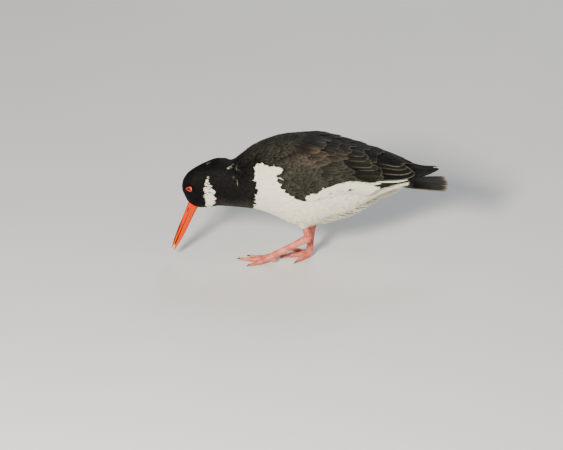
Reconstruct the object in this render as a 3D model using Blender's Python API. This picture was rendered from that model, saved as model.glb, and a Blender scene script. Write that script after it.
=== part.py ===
"""Eurasian oystercatcher in winter plumage, life size, wading with its bill lowered to the shore.

Units are metres and +Z is up. The bird faces -X, its left side is -Y, and both feet stand on Z = 0.
The body is one smooth form, cut into head, neck, torso and tail by thin gaps. Its parts are made
with X = 0 over the legs, and an empty then sets the middle of the whole bird over the origin.
"""

import math

import bmesh
import bpy
from mathutils import Matrix, Vector

# Place of the whole bird, gaps and mesh fineness
MIDDLE_X = 0.0132
GAP = 0.0003
SECTION_POWER = 2.15
POINTS_AROUND = 28
LIMB_POINTS = 10
TOE_POINTS = 8

# Body outline: X against the height of the back, the height of the belly and the half width
BACK = (
    (-0.1570, 0.1160), (-0.1503, 0.1261), (-0.1396, 0.1344), (-0.1275, 0.1410),
    (-0.1093, 0.1472), (-0.1007, 0.1467), (-0.0926, 0.1440), (-0.0785, 0.1526),
    (-0.0671, 0.1618), (-0.0564, 0.1678), (-0.0396, 0.1747), (-0.0228, 0.1795),
    (0.0000, 0.1818), (0.0268, 0.1801), (0.0497, 0.1730), (0.0685, 0.1635),
    (0.0832, 0.1545), (0.1000, 0.1435), (0.1275, 0.1290), (0.1520, 0.1195),
)
BELLY = (
    (-0.1570, 0.1007), (-0.1544, 0.0952), (-0.1503, 0.0870), (-0.1450, 0.0820),
    (-0.1396, 0.0791), (-0.1342, 0.0778), (-0.1195, 0.0788), (-0.1093, 0.0807),
    (-0.0785, 0.0800), (-0.0564, 0.0777), (-0.0396, 0.0718), (-0.0228, 0.0637),
    (-0.0062, 0.0563), (0.0107, 0.0546), (0.0268, 0.0597), (0.0497, 0.0667),
    (0.0685, 0.0730), (0.0832, 0.0815), (0.0946, 0.0892), (0.1114, 0.0985),
    (0.1275, 0.1049), (0.1520, 0.1110),
)
HALF_WIDTH = (
    (-0.1570, 0.0065), (-0.1544, 0.0105), (-0.1503, 0.0138), (-0.1450, 0.0162),
    (-0.1342, 0.0185), (-0.1195, 0.0218), (-0.1007, 0.0255), (-0.0859, 0.0295),
    (-0.0671, 0.0385), (-0.0396, 0.0480), (-0.0062, 0.0530), (0.0268, 0.0520),
    (0.0497, 0.0470), (0.0685, 0.0410), (0.0832, 0.0345), (0.1000, 0.0270),
    (0.1275, 0.0170), (0.1520, 0.0100),
)
FOREHEAD = (-0.1592, 0.1075)
RUMP_LENGTH = 0.004
BODY_STATIONS = (
    -0.1570, -0.1544, -0.1503, -0.1450, -0.1396, -0.1335, -0.1265, -0.1180, -0.1090,
    -0.1007, -0.0926, -0.0859, -0.0770, -0.0671, -0.0564, -0.0450, -0.0330, -0.0200,
    -0.0062, 0.0080, 0.0220, 0.0360, 0.0500, 0.0640, 0.0760, 0.0880, 0.1000, 0.1130,
    0.1275, 0.1400, 0.1520,
)

# Cuts between the body's nodes, each from a point on the throat side to one on the back
HEAD_CUT = ((-0.1302, 0.0760), (-0.1020, 0.1497))
NECK_CUT = ((-0.0624, 0.0750), (-0.0913, 0.1460))
TAIL_CUT_X = 0.1060

# Folded wing: X against the height and half width of its outer surface, and its edges in degrees
WING_TOP = (
    (-0.0450, 0.1728), (-0.0228, 0.1795), (0.0000, 0.1818), (0.0268, 0.1801),
    (0.0497, 0.1745), (0.0685, 0.1690), (0.0832, 0.1646), (0.0946, 0.1613),
    (0.1114, 0.1565), (0.1275, 0.1495), (0.1380, 0.1445), (0.1500, 0.1392),
    (0.1650, 0.1354), (0.1860, 0.1345),
)
WING_MIDDLE = (
    (-0.0450, 0.1230), (0.0107, 0.1181), (0.0497, 0.1206), (0.0946, 0.1225),
    (0.1275, 0.1220), (0.1420, 0.1235), (0.1650, 0.1278), (0.1860, 0.1315),
)
WING_HALF_WIDTH = (
    (-0.0450, 0.0465), (-0.0062, 0.0535), (0.0268, 0.0530), (0.0497, 0.0490),
    (0.0832, 0.0405), (0.1114, 0.0305), (0.1275, 0.0250), (0.1420, 0.0192),
    (0.1650, 0.0120), (0.1860, 0.0062),
)
WING_LOWER_EDGE = (
    (-0.0400, 30.0), (-0.0330, 12.0), (-0.0250, 3.0), (-0.0060, -3.0), (0.0100, -2.0),
    (0.0240, 4.0), (0.0580, 9.0), (0.0720, 6.0), (0.0900, -4.0), (0.1150, -2.0),
)
WING_UPPER_EDGE = (
    (-0.0400, 44.0), (-0.0250, 53.0), (0.0100, 63.0), (0.0400, 75.0), (0.0620, 86.0),
    (0.0850, 88.0), (0.1150, 88.0),
)
WING_STATIONS = (
    -0.0400, -0.0330, -0.0250, -0.0150, -0.0050, 0.0080, 0.0220, 0.0360, 0.0500,
    0.0640, 0.0780, 0.0920, 0.1060, 0.1180,
)

# Shell under the wing's feathers, which thins and sinks towards its rear end
CORE_STEPS = 8
CORE_DEPTH = (0.0110, 0.0040)
CORE_RISE = 0.0006
CORE_SWELL = 0.0006
CORE_SINK = 0.0026
CORE_THINNING = (0.087, 0.116)

# Seat of the wing in the torso: the seats of both wings meet over the back behind one X
SEAT_DEPTH = 0.0038
SEAT_FRONT = (-0.046, -0.026)
SEAT_EDGE = (7.0, 6.0)
SEATS_MEET_X = 0.07

# Tiers of the wing: name, number of vanes, root and tip of the first and of the last one as X and
# degrees, first and last width, and height of the tip above the wing's surface
WING_TIERS = (
    ("primary", 6, (0.088, 2), (0.1860, 24), (0.080, 34), (0.1560, 50), 0.0100, 0.0100, 0.0010),
    ("secondary", 6, (0.064, 2), (0.1180, 0), (0.022, 8), (0.0860, -5), 0.0120, 0.0120, 0.0012),
    ("tertial", 5, (0.062, 32), (0.1530, 38), (0.066, 76), (0.1400, 84), 0.0170, 0.0140, 0.0022),
    ("greater_covert", 7, (0.040, 8), (0.0860, 6), (0.030, 50), (0.0900, 52), 0.0120, 0.0120, 0.0022),
    ("median_covert", 7, (0.008, 2), (0.0520, 12), (0.006, 46), (0.0560, 56), 0.0120, 0.0120, 0.0026),
    ("lesser_covert", 6, (-0.024, 6), (0.0180, 5), (-0.020, 40), (0.0220, 48), 0.0120, 0.0110, 0.0024),
    ("scapular", 5, (0.020, 50), (0.0860, 58), (0.056, 76), (0.1120, 86), 0.0150, 0.0130, 0.0034),
)

# One feather: its width along its length, its thickness, the lean of its face and its root's depth
VANE_STATIONS = ((0.0, 0.75), (0.40, 1.0), (0.78, 0.90), (0.93, 0.62), (1.0, 0.22))
VANE_THICKNESS = 0.0007
VANE_TIP_THINNING = 0.3
VANE_ROLL = 0.10
VANE_ROOT_DEPTH = 0.0016
VANE_STEP = 0.02

# Tail: root and tip of the middle feathers, and how each pair spreads, drops, shortens and narrows
TAIL_PAIRS = 6
TAIL_ROOT = (0.1100, 0.1168)
TAIL_TIP = (0.1987, 0.1108)
TAIL_SPACING = (0.0011, 0.0040)
TAIL_STEP_DOWN = 0.00095
TAIL_SHORTENING = 0.0003
TAIL_NARROWING = 0.03
RECTRIX_WIDTH = 0.0118

# Eye and its lid
EYE_X = -0.1483
EYE_ANGLE = 9.0
EYE_SIZE = (0.0043, 0.0037, 0.0034)
EYE_DEPTH = 0.0025
EYE_POINTS = (20, 12)
LID_RADIUS = (0.0045, 0.0038)
LID_THICKNESS = 0.0008
LID_DEPTH = 0.0004
LID_POINTS = (20, 6)

# Bill in its own frame: share of its length against the edges of each jaw above the axis, and width
BILL_BASE = (-0.1433, 0.0807)
BILL_TIP = (-0.1711, 0.0146)
CULMEN = (
    (-0.14, 0.0080), (0.0, 0.0072), (0.25, 0.0062), (0.60, 0.0054), (0.85, 0.0038), (1.0, 0.0020),
)
GONYS = (
    (-0.14, -0.0078), (0.0, -0.0072), (0.25, -0.0064), (0.60, -0.0056), (0.85, -0.0040),
    (1.0, -0.0022),
)
MOUTH_LINE = ((-0.14, 0.0016), (0.0, 0.0014), (0.5, 0.0008), (1.0, 0.0))
MOUTH_GAP = ((-0.14, 0.00015), (0.35, 0.00018), (0.75, 0.0006), (1.0, 0.0011))
BILL_HALF_WIDTH = (
    (-0.14, 0.0056), (0.0, 0.0050), (0.3, 0.0036), (0.6, 0.0027), (0.85, 0.0019), (1.0, 0.0009),
)
BILL_STATIONS = (-0.14, 0.0, 0.10, 0.20, 0.30, 0.42, 0.55, 0.68, 0.80, 0.90, 0.96, 1.0)
JAW_STEPS = 8
JAW_POWER = 0.8
NOSTRIL_PLACE = 0.17
NOSTRIL_HEIGHT = 0.42
NOSTRIL_SIDE = 0.86
NOSTRIL_SIZE = (0.0050, 0.0012, 0.0007)
NOSTRIL_POINTS = (10, 6)

# Legs: hip, end of the shin's feathers, ankle, ball of the foot, and three points along each toe
LEGS = {
    "left": {
        "hip": (0.0020, -0.0240, 0.0760),
        "feather_end": (0.0085, -0.0185, 0.0500),
        "ankle": (0.0115, -0.0160, 0.0386),
        "ball": (-0.0370, -0.0120, 0.0105),
        "toes": (
            ((-0.0480, -0.0150, 0.0052), (-0.0570, -0.0185, 0.0022), (-0.0667, -0.0225, 0.0012)),
            ((-0.0500, -0.0100, 0.0056), (-0.0640, -0.0060, 0.0024), (-0.0796, -0.0020, 0.0012)),
            ((-0.0460, -0.0030, 0.0050), (-0.0550, 0.0060, 0.0022), (-0.0640, 0.0140, 0.0012)),
        ),
    },
    "right": {
        "hip": (0.0180, 0.0240, 0.0800),
        "feather_end": (0.0190, 0.0170, 0.0590),
        "ankle": (0.0175, 0.0140, 0.0505),
        "ball": (0.0125, 0.0090, 0.0048),
        "toes": (
            ((0.0043, 0.0164, 0.0034), (-0.0038, 0.0237, 0.0024), (-0.0113, 0.0304, 0.0012)),
            ((0.0005, 0.0082, 0.0036), (-0.0134, 0.0073, 0.0024), (-0.0254, 0.0065, 0.0012)),
            ((0.0061, 0.0013, 0.0034), (0.0003, -0.0056, 0.0024), (-0.0045, -0.0113, 0.0012)),
        ),
    },
}
HIP_RADIUS = 0.0120
THIGH_RADIUS = 0.0085
THIGH_PLACE = 0.6
FEATHER_END_RADIUS = 0.0046
SHIN_END = 0.55
SHIN_END_RADIUS = 0.0034
TARSUS_START_RADIUS = 0.0036
TARSUS_END = 0.90
TARSUS_END_RADIUS = 0.0037
ANKLE_RADIUS = 0.0047
TARSUS_PROFILE = ((0.16, 0.0039), (0.50, 0.0036))
TARSUS_FLATNESS = 0.8
BALL_RADIUS = 0.0046
BALL_DEPTH = 0.0040
BALL_END_RADIUS = 0.0030
TOE_RADIUS = (0.0032, 0.0028, 0.0019)
CLAW_LENGTH = 0.0045
CLAW_TIP_HEIGHT = 0.0004
CLAW_TIP_RADIUS = 0.0005

# Colours, and the angle from which an edge is shaded sharp
BLACK = (0.012, 0.012, 0.013)
DARK = (0.030, 0.028, 0.026)
WHITE = (0.78, 0.77, 0.73)
ORANGE = (0.85, 0.16, 0.02)
PINK = (0.72, 0.22, 0.18)
RED = (0.75, 0.04, 0.02)
SHARP_ANGLE = 40


def clear_scene():
    for item in list(bpy.data.objects):
        bpy.data.objects.remove(item, do_unlink=True)


def smooth_curve(points):
    """A function through the points that is smooth and never overshoots between two of them."""
    xs = [point[0] for point in points]
    ys = [point[1] for point in points]
    steps = [xs[i + 1] - xs[i] for i in range(len(xs) - 1)]
    slopes = [(ys[i + 1] - ys[i]) / steps[i] for i in range(len(steps))]
    tangents = [slopes[0]]
    for before, after in zip(slopes, slopes[1:]):
        flat = before * after <= 0
        tangents.append(0.0 if flat else 2 * before * after / (before + after))
    tangents.append(slopes[-1])

    def value(x):
        x = min(max(x, xs[0]), xs[-1])
        i = 0
        while i < len(steps) - 1 and x > xs[i + 1]:
            i += 1
        t = (x - xs[i]) / steps[i]
        rise = t * t * (3 - 2 * t)
        leave = t * (1 - t) * (1 - t) * steps[i] * tangents[i]
        arrive = t * t * (t - 1) * steps[i] * tangents[i + 1]
        return ys[i] * (1 - rise) + ys[i + 1] * rise + leave + arrive

    return value


back_height = smooth_curve(BACK)
belly_height = smooth_curve(BELLY)
half_width = smooth_curve(HALF_WIDTH)
wing_top = smooth_curve(WING_TOP)
wing_middle = smooth_curve(WING_MIDDLE)
wing_half_width = smooth_curve(WING_HALF_WIDTH)
wing_lower_edge = smooth_curve(WING_LOWER_EDGE)
wing_upper_edge = smooth_curve(WING_UPPER_EDGE)
culmen = smooth_curve(CULMEN)
gonys = smooth_curve(GONYS)
mouth_line = smooth_curve(MOUTH_LINE)
mouth_gap = smooth_curve(MOUTH_GAP)
bill_half_width = smooth_curve(BILL_HALF_WIDTH)


def ease(value, start, end):
    """Rises smoothly from 0 at the start to 1 at the end."""
    t = min(max((value - start) / (end - start), 0.0), 1.0)
    return t * t * (3 - 2 * t)


def mix(pair, share):
    """The value at a share of the way from the pair's first number to its second."""
    return pair[0] + (pair[1] - pair[0]) * share


def rounded(value):
    """Cosine or sine turned into the coordinate of a section that is slightly squarer than an ellipse."""
    return math.copysign(abs(value) ** (2 / SECTION_POWER), value)


def wing_seat(x, degrees):
    """How deep the torso is drawn in under the folded wing."""
    outside, inside = SEAT_EDGE
    low_edge = wing_lower_edge(x)
    high_edge = wing_upper_edge(x)
    along = ease(x, *SEAT_FRONT)
    low = ease(degrees, low_edge - outside, low_edge + inside)
    high = 1.0 if x > SEATS_MEET_X else 1 - ease(degrees, high_edge - outside, high_edge + inside)
    return SEAT_DEPTH * along * low * high


def body_point(x, degrees, out=0.0):
    """A point of the body's skin: degrees run from the right flank over the back to the left flank."""
    angle = math.radians(degrees)
    flank = 180 - degrees if degrees > 90 else degrees
    out -= wing_seat(x, flank)
    middle = (back_height(x) + belly_height(x)) / 2
    height = (back_height(x) - belly_height(x)) / 2 + out
    width = half_width(x) + out
    return Vector((x, width * rounded(math.cos(angle)), middle + height * rounded(math.sin(angle))))


def link(name, mesh):
    item = bpy.data.objects.new(name, mesh)
    bpy.context.scene.collection.objects.link(item)
    return item


def closed_object(name, points, faces):
    """An object from the faces of a closed surface, all turned outwards."""
    mesh = bpy.data.meshes.new(name)
    mesh.from_pydata([tuple(point) for point in points], [], faces)
    shape = bmesh.new()
    shape.from_mesh(mesh)
    bmesh.ops.recalc_face_normals(shape, faces=shape.faces)
    if shape.calc_volume(signed=True) < 0:
        bmesh.ops.reverse_faces(shape, faces=shape.faces)
    shape.to_mesh(mesh)
    shape.free()
    return link(name, mesh)


def band(count, low, high, alike=False):
    """Triangles between two rings that start at the points low and high.

    Alike splits the quads of the left half as a mirror image of those of the right half.
    """
    faces = []
    for i in range(count):
        j = (i + 1) % count
        if alike and 0.25 < (i + 0.5) / count < 0.75:
            faces.append((low + i, low + j, high + i))
            faces.append((low + j, high + j, high + i))
        else:
            faces.append((low + i, low + j, high + j))
            faces.append((low + i, high + j, high + i))
    return faces


def loft(name, rings, tips=(None, None), alike=False):
    """A closed mesh through rings of equal length. An end without a tip point is closed by a flat fan."""
    count = len(rings[0])
    points = [point for ring in rings for point in ring]
    faces = []
    for r in range(len(rings) - 1):
        faces += band(count, r * count, (r + 1) * count, alike)
    for end, tip in enumerate(tips):
        ring_start = 0 if end == 0 else (len(rings) - 1) * count
        if tip is None:
            fans = [(ring_start, ring_start + i + 1, ring_start + i) for i in range(1, count - 1)]
        else:
            points.append(tip)
            top = len(points) - 1
            fans = [(top, ring_start + (i + 1) % count, ring_start + i) for i in range(count)]
        faces += fans if end == 0 else [fan[::-1] for fan in fans]
    return closed_object(name, points, faces)


def closed_hoop(name, rings):
    """A hoop of rings that ends where it starts."""
    count = len(rings[0])
    points = [point for ring in rings for point in ring]
    faces = []
    for r in range(len(rings)):
        faces += band(count, r * count, (r + 1) % len(rings) * count)
    return closed_object(name, points, faces)


def ellipsoid(name, size, place, fineness):
    segments, rings = fineness
    shape = bmesh.new()
    bmesh.ops.create_uvsphere(shape, u_segments=segments, v_segments=rings, radius=1.0)
    bmesh.ops.transform(shape, matrix=place @ Matrix.Diagonal((*size, 1)), verts=shape.verts)
    bmesh.ops.triangulate(shape, faces=shape.faces)
    mesh = bpy.data.meshes.new(name)
    shape.to_mesh(mesh)
    shape.free()
    return link(name, mesh)


def replace_mesh(item, mesh):
    old = item.data
    item.modifiers.clear()
    item.data = mesh
    bpy.data.meshes.remove(old)


def applied(item):
    graph = bpy.context.evaluated_depsgraph_get()
    replace_mesh(item, bpy.data.meshes.new_from_object(item.evaluated_get(graph)))


def remove(item):
    bpy.data.objects.remove(item, do_unlink=True)


def keep_largest(item):
    """Keeps only the closed surface with the most area."""
    shape = bmesh.new()
    shape.from_mesh(item.data)
    waiting = set(shape.faces)
    islands = []
    while waiting:
        start = waiting.pop()
        island = [start]
        front = [start]
        while front:
            face = front.pop()
            for edge in face.edges:
                for other in edge.link_faces:
                    if other in waiting:
                        waiting.discard(other)
                        island.append(other)
                        front.append(other)
        islands.append(island)
    if len(islands) > 1:
        islands.sort(key=lambda faces: sum(face.calc_area() for face in faces))
        loose = [face for island in islands[:-1] for face in island]
        bmesh.ops.delete(shape, geom=loose, context="FACES")
    bmesh.ops.triangulate(shape, faces=shape.faces)
    shape.to_mesh(item.data)
    shape.free()


def combine(item, others, operation, solver="EXACT"):
    """Adds or cuts closed pieces in one Boolean, and removes them."""
    group = bpy.data.collections.new(item.name + "_pieces")
    bpy.context.scene.collection.children.link(group)
    for other in others:
        bpy.context.scene.collection.objects.unlink(other)
        group.objects.link(other)
    boolean = item.modifiers.new(operation.lower(), "BOOLEAN")
    boolean.operand_type = "COLLECTION"
    boolean.collection = group
    boolean.operation = operation
    boolean.solver = solver
    applied(item)
    for other in list(group.objects):
        remove(other)
    bpy.data.collections.remove(group)
    keep_largest(item)
    return item


def cut_plane(item, point, normal):
    """Takes away what lies on the side that the normal points to, and closes the cut."""
    shape = bmesh.new()
    shape.from_mesh(item.data)
    geometry = list(shape.verts) + list(shape.edges) + list(shape.faces)
    cut = bmesh.ops.bisect_plane(
        shape, geom=geometry, dist=1e-7, plane_co=point, plane_no=normal, clear_outer=True
    )
    rim = [part for part in cut["geom_cut"] if isinstance(part, bmesh.types.BMEdge)]
    if rim:
        closed = bmesh.ops.holes_fill(shape, edges=rim, sides=0)
        bmesh.ops.triangulate(shape, faces=closed["faces"])
    bmesh.ops.recalc_face_normals(shape, faces=shape.faces)
    shape.to_mesh(item.data)
    shape.free()
    return item


def copy_of(item, name):
    return link(name, item.data.copy())


def mirrored(item, name):
    """The same piece for the bird's other side."""
    other = copy_of(item, name)
    other.data.transform(Matrix.Scale(-1, 4, (0, 1, 0)))
    other.data.flip_normals()
    return other


def finish(item, material_name, colour, roughness):
    """Gives a node its material and smooth shading with sharp edges kept."""
    material = bpy.data.materials.get(material_name)
    if material is None:
        material = bpy.data.materials.new(material_name)
        material.use_nodes = True
        surface = material.node_tree.nodes["Principled BSDF"]
        surface.inputs["Base Color"].default_value = (*colour, 1)
        surface.inputs["Roughness"].default_value = roughness
        surface.inputs["Metallic"].default_value = 0.0
    item.data.materials.clear()
    item.data.materials.append(material)
    item.data.shade_smooth()
    item.data.set_sharp_from_angle(angle=math.radians(SHARP_ANGLE))
    return item


def body_form(name, out=0.0):
    """The whole bird without wings, legs and bill, grown outwards by a gap where one is given."""
    rings = []
    for x in BODY_STATIONS:
        rings.append([body_point(x, 360 * i / POINTS_AROUND, out) for i in range(POINTS_AROUND)])
    forehead = Vector((FOREHEAD[0] - out, 0, FOREHEAD[1]))
    last = BODY_STATIONS[-1]
    rump = Vector((last + RUMP_LENGTH + out, 0, (back_height(last) + belly_height(last)) / 2))
    return loft(name, rings, (forehead, rump), alike=True)


def cut_between(cut, offset):
    """Point and normal of a cut plane across the body, moved along its normal, which points to the tail."""
    low, high = cut
    run = Vector((high[0] - low[0], 0, high[1] - low[1])).normalized()
    normal = Vector((run.z, 0, -run.x))
    return Vector((low[0], 0, low[1])) + normal * offset, normal


def body_nodes(whole):
    """Cuts the body into head, neck, torso and the fleshy root of the tail."""
    half = GAP / 2
    head = copy_of(whole, "head")
    cut_plane(head, *cut_between(HEAD_CUT, -half))
    neck = copy_of(whole, "neck")
    point, normal = cut_between(HEAD_CUT, half)
    cut_plane(neck, point, -normal)
    cut_plane(neck, *cut_between(NECK_CUT, -half))
    torso = copy_of(whole, "torso")
    point, normal = cut_between(NECK_CUT, half)
    cut_plane(torso, point, -normal)
    tail_side = Vector((1, 0, 0))
    cut_plane(torso, Vector((TAIL_CUT_X - half, 0, 0)), tail_side)
    tail = copy_of(whole, "tail")
    cut_plane(tail, Vector((TAIL_CUT_X + half, 0, 0)), -tail_side)
    return head, neck, torso, tail


def surface_frame(x, degrees, step=0.0005):
    """Place and turn of a piece on the skin: its Z axis points out, its X axis to the bill."""
    centre = body_point(x, degrees)
    along = body_point(x - step, degrees) - centre
    around = body_point(x, degrees + 1) - centre
    outward = along.cross(around).normalized()
    if outward.y * centre.y < 0:
        outward = -outward
    along = (along - outward * along.dot(outward)).normalized()
    turn = Matrix((along, outward.cross(along), outward)).transposed().to_4x4()
    return Matrix.Translation(centre) @ turn


def eye_and_lid(side):
    """An eyeball, the socket that it sits in and the raised rim of lid round it."""
    name = "eye_" + side
    degrees = 180 - EYE_ANGLE if side == "left" else EYE_ANGLE
    frame = surface_frame(EYE_X, degrees)
    seat = frame @ Matrix.Translation((0, 0, -EYE_DEPTH))
    eye = ellipsoid(name, EYE_SIZE, seat, EYE_POINTS)
    socket = ellipsoid(name + "_socket", [size + GAP for size in EYE_SIZE], seat, EYE_POINTS)
    rim = []
    for i in range(LID_POINTS[0]):
        turn = 2 * math.pi * i / LID_POINTS[0]
        outward = Vector((math.cos(turn), math.sin(turn), 0))
        middle = Vector((LID_RADIUS[0] * outward.x, LID_RADIUS[1] * outward.y, -LID_DEPTH))
        ring = []
        for k in range(LID_POINTS[1]):
            tube = 2 * math.pi * k / LID_POINTS[1]
            offset = outward * math.cos(tube) + Vector((0, 0, 1)) * math.sin(tube)
            ring.append(frame @ (middle + offset * LID_THICKNESS))
        rim.append(ring)
    return eye, socket, closed_hoop(name + "_lid", rim)


def bill_frame():
    """Where the bill starts, the directions along it and up from it, and its length."""
    base = Vector((BILL_BASE[0], 0, BILL_BASE[1]))
    along = Vector((BILL_TIP[0], 0, BILL_TIP[1])) - base
    length = along.length
    along.normalize()
    up = Vector((along.z, 0, -along.x))
    return base, along, up, length


def jaw(name, upper):
    """One half of the bill: flat where it meets the other half, rounded outside."""
    base, along, up, length = bill_frame()
    rings = []
    for t in BILL_STATIONS:
        line = mouth_line(t) + (mouth_gap(t) if upper else -mouth_gap(t))
        edge = culmen(t) if upper else gonys(t)
        middle = base + along * (t * length)
        ring = []
        for i in range(JAW_STEPS + 1):
            turn = math.pi * i / JAW_STEPS
            side = bill_half_width(t) * math.copysign(abs(math.cos(turn)) ** JAW_POWER, math.cos(turn))
            rise = line + (edge - line) * math.sin(turn) ** JAW_POWER
            ring.append(middle + Vector((0, side, 0)) + up * rise)
        rings.append(ring)
    return loft(name, rings)


def nostril_cutters():
    base, along, up, length = bill_frame()
    t = NOSTRIL_PLACE
    rise = mouth_line(t) + NOSTRIL_HEIGHT * (culmen(t) - mouth_line(t))
    turn = Matrix((along, Vector((0, 1, 0)), up)).transposed().to_4x4()
    cutters = []
    for side in (-1, 1):
        middle = base + along * (t * length) + up * rise
        middle.y = side * bill_half_width(t) * NOSTRIL_SIDE
        place = Matrix.Translation(middle) @ turn
        cutters.append(ellipsoid("nostril", NOSTRIL_SIZE, place, NOSTRIL_POINTS))
    return cutters


def wing_point(x, degrees, out=0.0):
    """A point of the left folded wing's outer surface, degrees up from the flank."""
    angle = math.radians(degrees)
    height = wing_top(x) - wing_middle(x) + out
    width = wing_half_width(x) + out
    return Vector((x, -width * rounded(math.cos(angle)), wing_middle(x) + height * rounded(math.sin(angle))))


def wing_normal(x, degrees, step=0.001):
    here = wing_point(x, degrees)
    along = wing_point(x + step, degrees) - here
    around = wing_point(x, degrees + 1) - here
    outward = along.cross(around).normalized()
    return outward if outward.y < 0 or outward.z > 0.5 else -outward


def wing_core():
    """The arm and hand of the wing with the feather bases, as one shell over the torso's seat."""
    rings = []
    for x in WING_STATIONS:
        edges = (wing_lower_edge(x), wing_upper_edge(x))
        thinning = ease(x, *CORE_THINNING)
        outer = []
        inner = []
        for i in range(CORE_STEPS + 1):
            degrees = mix(edges, i / CORE_STEPS)
            swell = CORE_SWELL * math.sin(math.pi * i / CORE_STEPS)
            outer.append(wing_point(x, degrees, CORE_RISE + swell - CORE_SINK * thinning))
            inner.append(wing_point(x, degrees, -mix(CORE_DEPTH, thinning)))
        rings.append(outer + inner[::-1])
    return loft("wing_left", rings)


def vane(name, place, width, roll=0.0):
    """One flat, tapered feather. Place gives a point and an outward normal for a share of its length."""
    rings = []
    for t, share in VANE_STATIONS:
        middle, outward = place(t)
        further = min(t + VANE_STEP, 1.0)
        ahead = place(further)[0] - place(further - VANE_STEP)[0]
        across = outward.cross(ahead).normalized()
        outward = ahead.cross(across).normalized()
        half = (across + outward * roll) * (width * share / 2)
        thin = outward * (VANE_THICKNESS / 2) * (1 - VANE_TIP_THINNING * t)
        low_edge, high_edge = middle - half, middle + half
        rings.append([low_edge - thin, high_edge - thin, high_edge + thin, low_edge + thin])
    return loft(name, rings)


def wing_vanes():
    vanes = []
    for name, count, root_a, tip_a, root_b, tip_b, width_a, width_b, lift in WING_TIERS:
        for i in range(count):
            share = i / (count - 1)
            root = [mix(pair, share) for pair in zip(root_a, root_b)]
            tip = [mix(pair, share) for pair in zip(tip_a, tip_b)]

            def place(t, root=root, tip=tip, lift=lift):
                x, degrees = [mix(pair, t) for pair in zip(root, tip)]
                return wing_point(x, degrees, mix((-VANE_ROOT_DEPTH, lift), t)), wing_normal(x, degrees)

            vanes.append(vane(f"{name}_{i}", place, mix((width_a, width_b), share), VANE_ROLL))
    return vanes


def tail_vanes():
    """Twelve tail feathers in a shallow fan, the middle pair on top."""
    vanes = []
    for pair in range(TAIL_PAIRS):
        for side in (-1, 1):
            spread = side * (pair + 0.5)
            drop = TAIL_STEP_DOWN * (pair + (0.5 if side > 0 else 0.0))
            tip_x = TAIL_TIP[0] - TAIL_SHORTENING * pair * pair

            def place(t, spread=spread, drop=drop, tip_x=tip_x):
                x = mix((TAIL_ROOT[0], tip_x), t)
                z = mix((TAIL_ROOT[1], TAIL_TIP[1]), t) - drop
                return Vector((x, spread * mix(TAIL_SPACING, t), z)), Vector((0, 0, 1))

            vanes.append(vane(f"rectrix_{pair}_{side}", place, RECTRIX_WIDTH * (1 - TAIL_NARROWING * pair)))
    return vanes


def limb(name, stations, sides=LIMB_POINTS, flatness=1.0):
    """A tapered limb through stations of centre and radius. Flatness narrows it across the bird."""
    centres = [Vector(station[0]) for station in stations]
    rings = []
    for i, (centre, radius) in enumerate(stations):
        ahead = centres[min(i + 1, len(centres) - 1)] - centres[max(i - 1, 0)]
        ahead.normalize()
        across = Vector((0, 1, 0))
        across = (across - ahead * across.dot(ahead)).normalized()
        front = ahead.cross(across)
        ring = []
        for k in range(sides):
            turn = 2 * math.pi * k / sides
            offset = across * (math.cos(turn) * flatness) + front * math.sin(turn)
            ring.append(Vector(centre) + offset * radius)
        rings.append(ring)
    return loft(name, rings)


def between(start, end, share, further=0.0):
    """The point at a share of the way from start to end, and a length further on."""
    start, end = Vector(start), Vector(end)
    return start.lerp(end, share) + (end - start).normalized() * further


def shin_node(side, leg, body_grown):
    shin = limb("shin_" + side, (
        (leg["hip"], HIP_RADIUS),
        (between(leg["hip"], leg["feather_end"], THIGH_PLACE), THIGH_RADIUS),
        (leg["feather_end"], FEATHER_END_RADIUS),
        (between(leg["feather_end"], leg["ankle"], SHIN_END), SHIN_END_RADIUS),
    ))
    return combine(shin, [copy_of(body_grown, "grown")], "DIFFERENCE")


def tarsus_node(side, leg):
    stations = [
        (between(leg["feather_end"], leg["ankle"], SHIN_END, GAP), TARSUS_START_RADIUS),
        (leg["ankle"], ANKLE_RADIUS),
    ]
    for share, radius in TARSUS_PROFILE:
        stations.append((between(leg["ankle"], leg["ball"], share), radius))
    stations.append((between(leg["ankle"], leg["ball"], TARSUS_END), TARSUS_END_RADIUS))
    return limb("tarsus_" + side, stations, flatness=TARSUS_FLATNESS)


def foot_node(side, leg):
    """The ball of the foot with three toes and their claws, flat where they touch the ground."""
    toes = []
    for number, (knuckle, bend, tip) in enumerate(leg["toes"]):
        claw = between(bend, tip, 1.0, CLAW_LENGTH)
        claw.z = CLAW_TIP_HEIGHT
        toes.append(limb(f"toe_{side}_{number}", (
            (leg["ball"], TOE_RADIUS[0]),
            (knuckle, TOE_RADIUS[0]),
            (bend, TOE_RADIUS[1]),
            (tip, TOE_RADIUS[2]),
            (claw, CLAW_TIP_RADIUS),
        ), TOE_POINTS))
    foot = limb("foot_" + side, (
        (between(leg["ankle"], leg["ball"], TARSUS_END, GAP), TARSUS_END_RADIUS),
        (leg["ball"], BALL_RADIUS),
        (between(leg["ankle"], leg["ball"], 1.0, BALL_DEPTH), BALL_END_RADIUS),
    ), TOE_POINTS)
    combine(foot, toes, "UNION")
    cut_plane(foot, Vector((0, 0, 0)), Vector((0, 0, -1)))
    keep_largest(foot)
    return foot


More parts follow.
